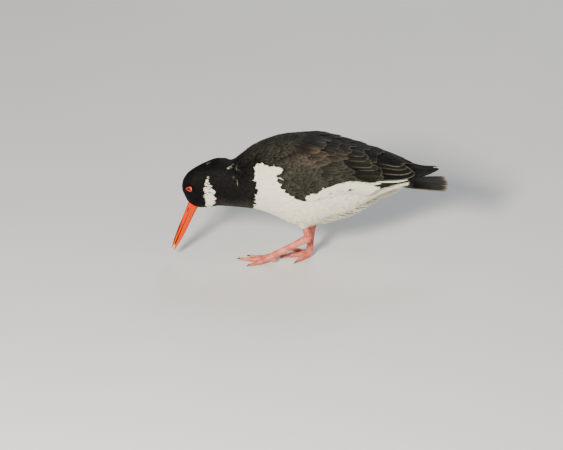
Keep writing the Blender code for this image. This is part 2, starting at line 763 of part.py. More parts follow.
def build():
    clear_scene()
    whole = body_form("whole")
    grown = body_form("grown", GAP)
    head, neck, torso, tail = body_nodes(whole)

    sockets = []
    lids = []
    for side in ("left", "right"):
        eye, socket, lid = eye_and_lid(side)
        finish(eye, "eye", RED, 0.08)
        sockets.append(socket)
        lids.append(lid)
    combine(head, lids, "UNION")
    combine(head, sockets, "DIFFERENCE")

    upper = jaw("bill_upper", True)
    combine(upper, [copy_of(grown, "grown_copy")] + nostril_cutters(), "DIFFERENCE")
    lower = jaw("bill_lower", False)
    combine(lower, [copy_of(grown, "grown_copy")], "DIFFERENCE")

    wing = wing_core()
    combine(wing, wing_vanes(), "UNION", "MANIFOLD")
    combine(wing, [copy_of(grown, "grown_copy")], "DIFFERENCE", "MANIFOLD")
    cut_plane(wing, Vector((0, -GAP / 2, 0)), Vector((0, 1, 0)))
    keep_largest(wing)
    other_wing = mirrored(wing, "wing_right")

    combine(tail, tail_vanes(), "UNION")

    for side, leg in LEGS.items():
        finish(shin_node(side, leg, grown), "belly", WHITE, 0.9)
        finish(tarsus_node(side, leg), "legs", PINK, 0.45)
        finish(foot_node(side, leg), "legs", PINK, 0.45)

    finish(head, "black_feathers", BLACK, 0.7)
    finish(neck, "black_feathers", BLACK, 0.7)
    finish(torso, "belly", WHITE, 0.9)
    finish(tail, "dark_feathers", DARK, 0.7)
    finish(wing, "dark_feathers", DARK, 0.7)
    finish(other_wing, "dark_feathers", DARK, 0.7)
    finish(upper, "bill", ORANGE, 0.35)
    finish(lower, "bill", ORANGE, 0.35)

    remove(whole)
    remove(grown)
    bird = bpy.data.objects.new("bird", None)
    bpy.context.scene.collection.objects.link(bird)
    bird.location = (-MIDDLE_X, 0, 0)
    for node in bpy.context.scene.objects:
        if node is not bird:
            node.parent = bird


build()
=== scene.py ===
"""Looks of the wading oystercatcher: skin, feather coat, folded wings, tail, bill, eyes and legs.

Everything is made in metres with X = 0 over the legs, as the construction is, and moved into the
frame when an object is made. The bird faces -X and its left side, which the camera sees, is -Y.
"""

import math
from dataclasses import dataclass

import bpy
import numpy as np
from mathutils import Matrix, Vector
from mathutils.bvhtree import BVHTree


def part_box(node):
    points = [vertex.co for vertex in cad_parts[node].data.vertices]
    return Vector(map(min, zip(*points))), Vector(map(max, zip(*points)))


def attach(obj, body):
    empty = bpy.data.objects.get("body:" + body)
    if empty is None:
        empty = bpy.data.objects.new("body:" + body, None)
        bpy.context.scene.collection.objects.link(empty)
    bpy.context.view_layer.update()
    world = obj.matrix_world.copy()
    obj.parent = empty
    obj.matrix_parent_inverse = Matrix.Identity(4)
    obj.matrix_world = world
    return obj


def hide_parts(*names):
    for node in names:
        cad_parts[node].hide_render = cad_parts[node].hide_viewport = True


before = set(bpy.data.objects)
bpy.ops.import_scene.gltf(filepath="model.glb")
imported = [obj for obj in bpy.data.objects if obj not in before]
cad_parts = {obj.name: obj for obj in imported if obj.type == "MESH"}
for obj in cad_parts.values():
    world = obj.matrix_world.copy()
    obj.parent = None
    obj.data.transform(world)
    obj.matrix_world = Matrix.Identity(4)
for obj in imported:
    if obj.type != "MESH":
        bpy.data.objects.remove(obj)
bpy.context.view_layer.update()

# Body outline: X against the height of the back, the height of the belly and the half width
BACK = (
    (-0.1570, 0.1160), (-0.1503, 0.1261), (-0.1396, 0.1344), (-0.1275, 0.1410),
    (-0.1093, 0.1472), (-0.1007, 0.1467), (-0.0926, 0.1440), (-0.0785, 0.1526),
    (-0.0671, 0.1618), (-0.0564, 0.1678), (-0.0396, 0.1747), (-0.0228, 0.1795),
    (0.0000, 0.1818), (0.0268, 0.1801), (0.0497, 0.1730), (0.0685, 0.1635),
    (0.0832, 0.1545), (0.1000, 0.1435), (0.1275, 0.1290), (0.1520, 0.1195),
)
BELLY = (
    (-0.1570, 0.1007), (-0.1544, 0.0952), (-0.1503, 0.0870), (-0.1450, 0.0820),
    (-0.1396, 0.0791), (-0.1342, 0.0778), (-0.1195, 0.0788), (-0.1093, 0.0807),
    (-0.0785, 0.0800), (-0.0564, 0.0777), (-0.0396, 0.0718), (-0.0228, 0.0637),
    (-0.0062, 0.0563), (0.0107, 0.0546), (0.0268, 0.0597), (0.0497, 0.0667),
    (0.0685, 0.0730), (0.0832, 0.0815), (0.0946, 0.0892), (0.1114, 0.0985),
    (0.1275, 0.1049), (0.1520, 0.1110),
)
HALF_WIDTH = (
    (-0.1570, 0.0065), (-0.1544, 0.0105), (-0.1503, 0.0138), (-0.1450, 0.0162),
    (-0.1342, 0.0185), (-0.1195, 0.0218), (-0.1007, 0.0255), (-0.0859, 0.0295),
    (-0.0671, 0.0385), (-0.0396, 0.0480), (-0.0062, 0.0530), (0.0268, 0.0520),
    (0.0497, 0.0470), (0.0685, 0.0410), (0.0832, 0.0345), (0.1000, 0.0270),
    (0.1275, 0.0170), (0.1520, 0.0100),
)
SECTION_POWER = 2.15
FOREHEAD = (-0.1592, 0.1075)
BODY_ENDS = (-0.1570, 0.1440)
RUMP_LENGTH = 0.003
TAIL_CUT_X = 0.1060
GAP = 0.0003

# Folded wing: X against the height and half width of its outer surface, and its edges in degrees
WING_TOP = (
    (-0.0450, 0.1728), (-0.0228, 0.1795), (0.0000, 0.1818), (0.0268, 0.1801),
    (0.0497, 0.1745), (0.0685, 0.1690), (0.0832, 0.1646), (0.0946, 0.1613),
    (0.1114, 0.1565), (0.1275, 0.1495), (0.1380, 0.1445), (0.1500, 0.1392),
    (0.1650, 0.1354), (0.1860, 0.1345),
)
WING_MIDDLE = (
    (-0.0450, 0.1230), (0.0107, 0.1181), (0.0497, 0.1206), (0.0946, 0.1225),
    (0.1275, 0.1220), (0.1420, 0.1235), (0.1650, 0.1278), (0.1860, 0.1315),
)
WING_HALF_WIDTH = (
    (-0.0450, 0.0465), (-0.0062, 0.0535), (0.0268, 0.0530), (0.0497, 0.0490),
    (0.0832, 0.0405), (0.1114, 0.0305), (0.1275, 0.0250), (0.1420, 0.0192),
    (0.1650, 0.0120), (0.1860, 0.0062),
)
WING_LOWER_EDGE = (
    (-0.0400, 30.0), (-0.0330, 12.0), (-0.0250, 3.0), (-0.0060, -3.0), (0.0100, -2.0),
    (0.0240, 4.0), (0.0580, 9.0), (0.0720, 6.0), (0.0900, -4.0), (0.1150, -2.0),
)
WING_UPPER_EDGE = (
    (-0.0400, 44.0), (-0.0250, 53.0), (0.0100, 63.0), (0.0400, 75.0), (0.0620, 86.0),
    (0.0850, 88.0), (0.1150, 88.0),
)

# Coat: X against a body feather's length and width and the depth of the skin below the coat's surface
FEATHER_LENGTH = (
    (-0.1590, 0.0028), (-0.1450, 0.0040), (-0.1280, 0.0056), (-0.1080, 0.0074),
    (-0.0850, 0.0098), (-0.0600, 0.0120), (-0.0200, 0.0150), (0.0500, 0.0175),
    (0.1000, 0.0165), (0.1300, 0.0105), (0.1520, 0.0060),
)
FEATHER_WIDTH = (
    (-0.1590, 0.0009), (-0.1450, 0.0013), (-0.1280, 0.0019), (-0.1080, 0.0028),
    (-0.0850, 0.0042), (-0.0600, 0.0056), (-0.0200, 0.0068), (0.0500, 0.0076),
    (0.1000, 0.0070), (0.1520, 0.0050),
)
# Spacing of rows, and of the feathers in a row, as shares of a feather's length and width
ROW_SHARE = 0.30
COLUMN_SHARE = 0.62
COAT_DEPTH = (
    (-0.1590, 0.0008), (-0.1450, 0.0010), (-0.1100, 0.0016), (-0.0600, 0.0024),
    (0.0500, 0.0030), (0.1520, 0.0022),
)

# Markings: breast line as degrees against X, half-collar as degrees against its two edges' X
BREAST_LINE = (
    (90.0, -0.0400), (137.0, -0.0560), (158.0, -0.0609), (176.0, -0.0575),
    (201.0, -0.0590), (236.0, -0.0618), (270.0, -0.0630),
)
COLLAR_FRONT = ((143.0, -0.1220), (167.0, -0.1274), (189.0, -0.1268), (230.0, -0.1250), (270.0, -0.1242))
COLLAR_REAR = (
    (143.0, -0.1227), (160.0, -0.1207), (183.0, -0.1154), (216.0, -0.1129), (240.0, -0.1185),
    (270.0, -0.1205),
)
COLLAR_TOP = 143.0
COLLAR_GAPS = 0.45
COLLAR_WHITE = 0.93
BORDER_STRAY = 0.0006
# Where the coat turns from black to olive: X or degrees of the start and the end of each change
OLIVE_BEGINS = (-0.100, -0.050)
NECK_SIDE_TOP = (112, 132)
NECK_SIDE_FOOT = (195, 225)
NECK_SIDE_REAR = (-0.052, -0.040)
THROAT_BEGINS = (-0.125, -0.100)
THROAT_SIDE = (190, 235)
# Pale wisps on the dark neck and crown, partly exposed white feather bases and partly painted glints of
# sheen: X and degrees of both ends, number and share of white
NECK_GLINT_WISPS = (
    ((-0.0975, 134.0), (-0.0900, 109.0), 13, 0.70), ((-0.0838, 112.0), (-0.0836, 124.0), 6, 0.45),
    ((-0.0835, 144.0), (-0.0832, 162.0), 6, 0.35), ((-0.1270, 106.0), (-0.1215, 101.0), 5, 0.30),
    ((-0.0780, 118.0), (-0.0800, 130.0), 4, 0.22), ((-0.0880, 132.0), (-0.0885, 142.0), 3, 0.20),
)
SHOULDER_LINE = ((-0.0640, 47.0), (-0.0564, 43.0), (-0.0403, 36.5), (-0.0255, 33.0), (0.0000, 30.0))
RUMP_X = 0.0760
# The white point over the wing's front: its rear end, and X against the degrees of its lower edge
HOOK_END = -0.0252
HOOK_LOWER = ((-0.0420, -0.0368, -0.0343, -0.0300, -0.0252), (5.0, 15.8, 22.1, 27.0, 32.5))

# Lie of the coat: face feathers point away from the bill's root, those beside the back droop
BILL_ROOT = (-0.1485, 0.0, 0.0815)
MANTLE_DROOP = 0.45
BODY_VOXEL = 0.0014
# X values that part the coat into pieces, and degrees from the top of the back to the mantle's edge
FACE_END = -0.1385
CROWN_END = -0.1080
MANTLE_START = -0.0700
MANTLE_DEGREES = 65
BELLY_START = 0.0200

# Strands: number, X range, degrees range, length range, lift range, climb of their lie and width range
STRANDS = (
    (900, (-0.055, 0.010), (186, 268), (0.0080, 0.0125), (0.0001, 0.0006), 0.05, (0.0008, 0.0017)),
    (900, (0.010, 0.140), (186, 268), (0.0095, 0.0150), (0.0002, 0.0010), 0.10, (0.0008, 0.0017)),
    (360, (0.020, 0.118), (225, 270), (0.0115, 0.0175), (0.0016, 0.0080), -0.05, (0.0016, 0.0034)),
    (240, (-0.012, 0.034), (225, 268), (0.0080, 0.0130), (0.0008, 0.0045), -0.20, (0.0009, 0.0020)),
)

# Large feathers: shares of the length where rows lie, and the widths there
FLIGHT_ROWS = (0.0, 0.12, 0.25, 0.38, 0.50, 0.62, 0.73, 0.82, 0.89, 0.94, 0.97, 0.99, 1.0)
FLIGHT_PROFILE = (0.60, 0.80, 0.94, 1.0, 1.0, 0.98, 0.93, 0.85, 0.72, 0.56, 0.42, 0.26, 0.1)
SOFT_PROFILE = (0.60, 0.82, 0.96, 1.0, 1.0, 0.99, 0.96, 0.90, 0.82, 0.72, 0.62, 0.50, 0.1)
COVERT_ROWS = (0.0, 0.25, 0.48, 0.68, 0.82, 0.91, 0.97, 1.0)
COVERT_PROFILE = (0.55, 0.88, 1.0, 0.98, 0.90, 0.76, 0.60, 0.2)
TUFT_PROFILE = (0.60, 0.95, 1.0, 0.94, 0.82, 0.66, 0.48, 0.2)
LAYER_STEP = 0.00014
# Rows of small coverts: X of the first and the last row and between two, and where they thin out
SMALL_COVERT_ROWS = (-0.0405, 0.044, 0.0030)
SMALL_COVERT_SPACING = 0.0034
SMALL_COVERTS_THIN_OUT = (0.000, 0.046)
# Rows of white flank feathers over the wing's lower edge: degrees below it, climb past it and number
TUFT_ROWS = (
    (16.0, 0.0, 90, (0.0030, 0.0045)), (12.0, 0.3, 110, (0.0024, 0.0036)), (9.0, 0.8, 130, (0.0018, 0.0030)),
    (7.0, 0.4, 130, (0.0020, 0.0032)), (5.0, 1.0, 120, (0.0012, 0.0022)),
)
TUFT_RANGE = (0.000, 0.090)
TUFT_CLIMB = ((0.0, 0.020, 0.045, 0.070, 0.085, 0.095), (2.0, 2.5, 3.0, 2.5, 3.0, 0.0))

# Shell under the wing's feathers, and the part of its lower edge that is white: X of both ends
ARM_ENDS = (-0.0400, 0.1180)
WHITE_EDGE_ENDS = (0.004, 0.094)
# Worn patches of the wing: X and degrees of the middle, each followed by its reach
WORN_PATCHES = ((0.014, 0.022, 51, 10), (0.058, 0.012, 60, 8))
WORN_SHARE = 0.9


@dataclass
class Tier:
    """A layer of a wing's large feathers. Roots and tips are X and degrees from the first feather to the
    last, and heights are over the wing's surface at the root and at the tip."""

    count: int
    roots: tuple
    tips: tuple
    widths: tuple
    heights: tuple
    fringe: float
    olive: float
    white: float = 0.0
    worn: bool = False
    bow: float = 0.0
    stray: float = 0.0008
    tooth: float = 0.012
    fray: float = 0.35


# Tiers from the lowest layer up
FLIGHT_TIERS = (
    Tier(
        count=10, roots=((0.092, 2), (0.088, 30), (0.096, 72)),
        tips=((0.1640, 8), (0.1800, 26), (0.1863, 55), (0.1740, 80), (0.1600, 89)),
        widths=(0.0090, 0.0110), heights=(-0.0030, 0.0000), fringe=0.05, olive=0.0,
    ),
    Tier(
        count=9, roots=((0.062, 9), (0.040, 16)), tips=((0.1300, 1), (0.1020, -5)),
        widths=(0.0110, 0.0110), heights=(-0.0028, 0.0000), fringe=0.10, olive=0.15,
    ),
    Tier(
        count=5, roots=((0.070, 8), (0.066, 40)), tips=((0.1420, 10), (0.1460, 42)),
        widths=(0.0125, 0.0140), heights=(-0.0024, 0.0004), fringe=0.20, olive=0.22,
    ),
    Tier(
        count=2, roots=((0.084, 7), (0.101, 8)), tips=((0.1075, 4), (0.1430, 5)),
        widths=(0.0030, 0.0026), heights=(0.0012, 0.0024), fringe=0.0, olive=0.0, white=0.9,
    ),
    Tier(
        count=6, roots=((0.066, 26), (0.070, 58), (0.078, 84)),
        tips=((0.1530, 27), (0.1440, 50), (0.1330, 62), (0.1500, 88)),
        widths=(0.0180, 0.0150), heights=(-0.0018, 0.0014), fringe=0.70, olive=0.15,
    ),
)
COVERT_TIERS = (
    Tier(
        count=14, roots=((0.050, 4), (0.040, 30), (0.036, 60)),
        tips=((0.1040, 4), (0.1073, 18), (0.1054, 29), (0.0940, 47), (0.0850, 63)), bow=2.0,
        widths=(0.0110, 0.0120), heights=(-0.0022, 0.0010), fringe=0.38, olive=0.62,
        tooth=0.03, fray=0.6, stray=0.0022,
    ),
    Tier(
        count=19, roots=((0.030, 2), (0.012, 60)), tips=((0.0760, 4), (0.0680, 24), (0.0500, 58)),
        widths=(0.0095, 0.0105), heights=(-0.0018, 0.0014), fringe=0.12, olive=0.80,
        tooth=0.08, fray=0.7, worn=True, stray=0.0060,
    ),
    Tier(
        count=19, roots=((0.012, 0), (-0.004, 58)), tips=((0.0480, 2), (0.0450, 24), (0.0300, 56)),
        widths=(0.0085, 0.0095), heights=(-0.0016, 0.0014), fringe=0.08, olive=0.88,
        tooth=0.10, fray=0.7, worn=True, stray=0.0060,
    ),
    Tier(
        count=6, roots=((0.050, 58), (0.070, 88)), tips=((0.1034, 57), (0.1054, 80), (0.1110, 90)),
        widths=(0.0150, 0.0140), heights=(-0.0020, 0.0016), fringe=0.45, olive=0.35,
        stray=0.0015,
    ),
    Tier(
        count=6, roots=((0.034, 68), (0.052, 92)), tips=((0.0800, 54), (0.0940, 84)),
        widths=(0.0145, 0.0135), heights=(-0.0018, 0.0018), fringe=0.45, olive=0.45,
        worn=True, stray=0.0025,
    ),
    Tier(
        count=7, roots=((0.018, 68), (0.036, 94)), tips=((0.0580, 50), (0.0740, 80)),
        widths=(0.0135, 0.0120), heights=(-0.0016, 0.0020), fringe=0.42, olive=0.55,
        worn=True, stray=0.0025,
    ),
    Tier(
        count=7, roots=((0.002, 66), (0.020, 94)), tips=((0.0400, 46), (0.0550, 78)),
        widths=(0.0120, 0.0110), heights=(-0.0014, 0.0020), fringe=0.38, olive=0.65,
        worn=True, stray=0.0020,
    ),
    Tier(
        count=8, roots=((-0.014, 58), (0.006, 92)), tips=((0.0220, 42), (0.0380, 78)),
        widths=(0.0110, 0.0095), heights=(-0.0012, 0.0018), fringe=0.32, olive=0.75,
        worn=True, stray=0.0020,
    ),
)

# Tail: places of root and tip as X and height, and how the feathers of each pair differ
TAIL_PAIRS = 6
TAIL_ROOT = (0.1100, 0.1168)
TAIL_TIP = (0.1987, 0.1124)
TAIL_SPACING = (0.0009, 0.0042)
TAIL_STEP_DOWN = 0.00028
TAIL_SHORTENING = 0.00011
TAIL_WHITE_END = (0.28, 0.40)
RECTRIX_WIDTH = 0.0135
QUILL_COLUMNS = 11
SHAFT_RIDGE = 0.00025

# Eye: half sizes of the room that the feathers leave, place on the head, half sizes of the ball and
# the depth of its centre, and half sizes and radius of the bare ring round it
EYE_ROOM = (0.0046, 0.0037)
EYE_X = -0.1483
EYE_ANGLE = 7.2
EYE_SIZE = (0.0043, 0.0037, 0.0034)
EYE_DEPTH = 0.0025
EYE_RING_SIZE = (0.00375, 0.00285)
EYE_RING_THICKNESS = 0.00058

# Bill: shares of its length against heights over its middle line, and the nostril's share and height
BILL_BASE = (-0.1433, 0.0807)
BILL_TIP = (-0.1711, 0.0146)
CULMEN = ((-0.14, 0.0080), (0.0, 0.0072), (0.25, 0.0062), (0.60, 0.0054), (0.85, 0.0038), (1.0, 0.0020))
GONYS = ((-0.14, -0.0078), (0.0, -0.0072), (0.25, -0.0065), (0.60, -0.0058), (0.85, -0.0043), (1.0, -0.0026))
MOUTH_LINE = ((-0.14, 0.0016), (0.0, 0.0014), (0.5, 0.0008), (1.0, 0.0))
MOUTH_GAP = ((-0.14, 0.00015), (0.10, 0.00022), (0.35, 0.00042), (0.75, 0.0008), (1.0, 0.0014))
NOSTRIL = (0.115, 0.46)
BILL_HALF_WIDTH = (
    (-0.14, 0.0056), (0.0, 0.0050), (0.3, 0.0036), (0.6, 0.0027), (0.85, 0.0019), (1.0, 0.0009),
)

# Legs: joints in metres and radii of the skin
LEGS = {
    "left": {
        "hip": (0.0020, -0.0240, 0.0760),
        "shin": (0.0085, -0.0185, 0.0500),
        "feathered": 0.72,
        "ankle": (0.0115, -0.0160, 0.0386),
        "ball": (-0.0370, -0.0120, 0.0105),
        "toes": (
            ((-0.0480, -0.0150, 0.0052), (-0.0570, -0.0185, 0.0022), (-0.0667, -0.0225, 0.0012)),
            ((-0.0500, -0.0100, 0.0056), (-0.0640, -0.0060, 0.0024), (-0.0796, -0.0020, 0.0012)),
            ((-0.0475, -0.0050, 0.0050), (-0.0570, 0.0010, 0.0022), (-0.0672, 0.0066, 0.0012)),
        ),
    },
    "right": {
        "hip": (0.0180, 0.0240, 0.0800),
        "shin": (0.0190, 0.0170, 0.0590),
        "feathered": 0.92,
        "ankle": (0.0175, 0.0140, 0.0505),
        "ball": (0.0125, 0.0090, 0.0048),
        "toes": (
            ((0.0043, 0.0164, 0.0034), (-0.0038, 0.0237, 0.0024), (-0.0113, 0.0304, 0.0012)),
            ((0.0005, 0.0082, 0.0036), (-0.0134, 0.0073, 0.0024), (-0.0254, 0.0065, 0.0012)),
            ((0.0061, 0.0013, 0.0034), (0.0003, -0.0056, 0.0024), (-0.0045, -0.0113, 0.0012)),
        ),
    },
}
THIGH_PROFILE = ((0.0, 0.0120), (0.80, 0.0082), (1.0, 0.0052))
SHANK_PROFILE = ((0.0, 0.0042), (0.6, 0.0047), (1.0, 0.0060))
TARSUS_PROFILE = (
    (0.0, 0.0060), (0.10, 0.0057), (0.24, 0.0049), (0.55, 0.0045), (0.85, 0.0047), (1.0, 0.0051),
)
TARSUS_FLATNESS = 0.82
TOE_PROFILE = ((0.0, 0.0042), (0.25, 0.0041), (0.40, 0.0034), (0.62, 0.0035), (0.74, 0.0027), (1.0, 0.0019))
TOE_JOINT_RADII = (0.0040, 0.0032, 0.0019)
CLAW_LENGTH = 0.0045
CLAW_PROFILE = ((0.0, 0.0013), (0.5, 0.0010), (1.0, 0.00025))
PAD_REACH = 0.0030
PAD_HEIGHT = 0.0040
PAD_PROFILE = ((0.0, 0.0046), (1.0, 0.0038))
SCUTE_PITCH = 0.0016
SCUTE_HEIGHT = 0.00022
SKIN_VOXEL = 0.00034
SCALE_SIZE = 0.0011

# Stage: the floor's half size, and each lamp's name, place, power, size and colour
FLOOR_REACH = 12.0
SKY_COLOUR = (0.88, 0.93, 1.0, 1)
SKY_STRENGTH = 0.30
LAMP_TARGET = (0, 0, 0.09)
LAMPS = (
    ("key", (-0.70, -2.0, 1.20), 120.0, 0.40, (1.0, 0.93, 0.82)),
    ("fill", (1.8, -1.2, 1.5), 14.0, 1.6, (0.92, 0.96, 1.0)),
    ("back", (0.6, 2.0, 1.8), 26.0, 1.2, (0.95, 0.97, 1.0)),
)

# Camera: the photo's scale of 0.745 pixels a millimetre seen from 24 degrees above the ground
CAMERA_ELEVATION = 24.0
CAMERA_DISTANCE = 8.0
CAMERA_LENS = 381.1
SENSOR_WIDTH = 36.0
CAMERA_TARGET = (-0.0248, 0.0, 0.0505)

SEED = 7


def smooth_curve(points):
    """A function of arrays through the points that is smooth and never overshoots between two of them."""
    xs, ys = np.array(points, float).T
    steps = np.diff(xs)
    slopes = np.diff(ys) / steps
    product = slopes[:-1] * slopes[1:]
    total = slopes[:-1] + slopes[1:]
    inner = np.where(product > 0, 2 * product / np.where(total == 0, 1, total), 0)
    tangents = np.concatenate([slopes[:1], inner, slopes[-1:]])

    def value(x):
        x = np.clip(np.asarray(x, float), xs[0], xs[-1])
        i = np.clip(np.searchsorted(xs, x, side="right") - 1, 0, len(steps) - 1)
        t = (x - xs[i]) / steps[i]
        rise = t * t * (3 - 2 * t)
        leave = t * (1 - t) ** 2 * steps[i] * tangents[i]
        arrive = t * t * (t - 1) * steps[i] * tangents[i + 1]
        return ys[i] * (1 - rise) + ys[i + 1] * rise + leave + arrive

    return value


back_height = smooth_curve(BACK)
belly_height = smooth_curve(BELLY)
half_width = smooth_curve(HALF_WIDTH)
wing_top = smooth_curve(WING_TOP)
wing_middle = smooth_curve(WING_MIDDLE)
wing_half_width = smooth_curve(WING_HALF_WIDTH)
wing_lower_edge = smooth_curve(WING_LOWER_EDGE)
wing_upper_edge = smooth_curve(WING_UPPER_EDGE)
feather_length = smooth_curve(FEATHER_LENGTH)
feather_width = smooth_curve(FEATHER_WIDTH)
coat_depth = smooth_curve(COAT_DEPTH)
breast_line = smooth_curve(BREAST_LINE)
collar_front = smooth_curve(COLLAR_FRONT)
collar_rear = smooth_curve(COLLAR_REAR)
shoulder_line = smooth_curve(SHOULDER_LINE)
culmen = smooth_curve(CULMEN)
gonys = smooth_curve(GONYS)
mouth_line = smooth_curve(MOUTH_LINE)
mouth_gap = smooth_curve(MOUTH_GAP)
bill_half_width = smooth_curve(BILL_HALF_WIDTH)

# The frame has the middle of the whole bird over the origin, so its X differs by this much
SHIFT_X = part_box("torso")[1].x - (TAIL_CUT_X - GAP / 2)


SIDEWAYS = np.array((0, 1.0, 0))


def ease(value, start, end):
    """Rises smoothly from 0 at start to 1 at end."""
    t = np.clip((value - start) / (end - start), 0.0, 1.0)
    return t * t * (3 - 2 * t)


def unit(vectors):
    return vectors / np.maximum(np.linalg.norm(vectors, axis=-1, keepdims=True), 1e-12)


def between(first, second, share):
    return first + (second - first) * share


def moved(points, matrix):
    """Points turned and shifted by a matrix."""
    matrix = np.array(matrix)
    return points @ matrix[:3, :3].T + matrix[:3, 3]


def distance_along(line):
    """The length of a line of places up to each of them."""
    return np.concatenate([[0], np.cumsum(np.linalg.norm(np.diff(line, axis=0), axis=1))])


def rounded(value):
    return np.sign(value) * np.abs(value) ** (2 / SECTION_POWER)


def body_heights(x):
    """The height of the body's middle at X, and half its depth."""
    back, belly = back_height(x), belly_height(x)
    return (back + belly) / 2, (back - belly) / 2


def body_point(x, degrees, out=0.0):
    """Points of the coat's surface: degrees run from the right flank over the back to the left flank."""
    angle = np.radians(degrees)
    middle, height = body_heights(x)
    across = (half_width(x) + out) * rounded(np.cos(angle))
    up = middle + (height + out) * rounded(np.sin(angle))
    return np.stack(np.broadcast_arrays(x, across, up), axis=-1)


def body_degrees(points):
    """The degrees at which points near the body's surface lie."""
    x = points[..., 0]
    middle, height = body_heights(x)
    across = points[..., 1] / half_width(x)
    up = (points[..., 2] - middle) / height
    power = SECTION_POWER / 2
    cosine = np.sign(across) * np.abs(across) ** power
    sine = np.sign(up) * np.abs(up) ** power
    return np.degrees(np.arctan2(sine, cosine)) % 360


def wing_point(x, degrees, out=0.0, side=-1):
    """Points of a folded wing's outer surface, degrees up from the flank. Side -1 is the left wing."""
    angle = np.radians(degrees)
    height = wing_top(x) - wing_middle(x) + out
    width = wing_half_width(x) + out
    across = side * width * rounded(np.cos(angle))
    up = wing_middle(x) + height * rounded(np.sin(angle))
    return np.stack(np.broadcast_arrays(x, across, up), axis=-1)


# Objects and meshes


def make_object(name, mesh, material, replaced=()):
    """Links a piece, moves it into the frame, says what it rides on and hides the parts that it replaces."""
    item = bpy.data.objects.new(name, mesh)
    bpy.context.scene.collection.objects.link(item)
    mesh.transform(Matrix.Translation((SHIFT_X, 0, 0)))
    mesh.materials.clear()
    mesh.materials.append(material)
    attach(item, "root")
    if replaced:
        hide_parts(*replaced)
    return item


def mesh_from_arrays(name, points, triangles):
    mesh = bpy.data.meshes.new(name)
    mesh.vertices.add(len(points))
    mesh.vertices.foreach_set("co", np.asarray(points, np.float32).ravel())
    mesh.loops.add(3 * len(triangles))
    mesh.loops.foreach_set("vertex_index", np.asarray(triangles, np.int32).ravel())
    mesh.polygons.add(len(triangles))
    mesh.polygons.foreach_set("loop_start", np.arange(0, 3 * len(triangles), 3, dtype=np.int32))
    mesh.update(calc_edges=True)
    mesh.validate()
    return mesh


def set_attributes(mesh, **values):
    """Numbers that the materials read: an array with one for each point, or one number for them all."""
    for name, value in values.items():
        attribute = mesh.attributes.new(name, "FLOAT", "POINT")
        spread = np.broadcast_to(np.asarray(value, np.float32), len(mesh.vertices))
        attribute.data.foreach_set("value", np.ascontiguousarray(spread))


def vectors_of(items, key):
    """The vectors of a mesh's points or normals as an array."""
    flat = np.zeros(3 * len(items), np.float32)
    items.foreach_get(key, flat)
    return flat.reshape(-1, 3).astype(float)


def move_points(mesh, points):
    mesh.vertices.foreach_set("co", points.astype(np.float32).ravel())
    mesh.update()


def set_map(mesh, uv, wrap=None):
    """The piece's map from one place a vertex. Wrap is the height at which the map closes on itself."""
    layer = mesh.uv_layers.new(name="OFBake")
    corners = np.zeros(len(mesh.loops), np.int32)
    mesh.loops.foreach_get("vertex_index", corners)
    places = np.asarray(uv, np.float32)[corners].reshape(-1, 3, 2)
    if wrap is not None:
        torn = np.ptp(places[..., 1], axis=1) > wrap / 2
        places[..., 1] += wrap * (torn[:, None] & (places[..., 1] < wrap / 2))
    layer.uv.foreach_set("vector", places.ravel())


def smooth_shaded(mesh, sharp_degrees=None):
    mesh.shade_smooth()
    if sharp_degrees is not None:
        mesh.set_sharp_from_angle(angle=math.radians(sharp_degrees))
    return mesh


def band(low, high, count):
    """Triangles between two rings of points that begin at the numbers low and high."""
    i = np.arange(count)
    j = (i + 1) % count
    first = np.stack([low + i, high + i, high + j], 1)
    second = np.stack([low + i, high + j, low + j], 1)
    return np.concatenate([first, second])


def tube(rings, start_tip=None, end_tip=None):
    """Points and triangles of a closed surface through rings, an array of ring, point and place."""
    total, count = rings.shape[:2]
    points = [rings.reshape(-1, 3)]
    i = np.arange(count)
    j = (i + 1) % count
    faces = [band(r * count, (r + 1) * count, count) for r in range(total - 1)]
    for tip, ring, flip in ((start_tip, 0, False), (end_tip, total - 1, True)):
        centre = rings[ring].mean(0) if tip is None else np.asarray(tip)
        top = sum(len(part) for part in points)
        points.append(centre[None])
        fan = np.stack([np.full(count, top), ring * count + i, ring * count + j], 1)
        faces.append(fan[:, ::-1] if flip else fan)
    return np.concatenate(points), np.concatenate(faces)


def tube_mesh(name, rings):
    points, triangles = tube(rings)
    return mesh_from_arrays(name, points, turned_out(points, triangles))


def turned_out(points, triangles):
    """The triangles with their faces pointing out of the closed surface."""
    a, b, c = (points[triangles[:, k]] for k in range(3))
    volume = np.einsum("ij,ij->i", a, np.cross(b, c)).sum()
    return triangles if volume > 0 else triangles[:, ::-1]


# Materials


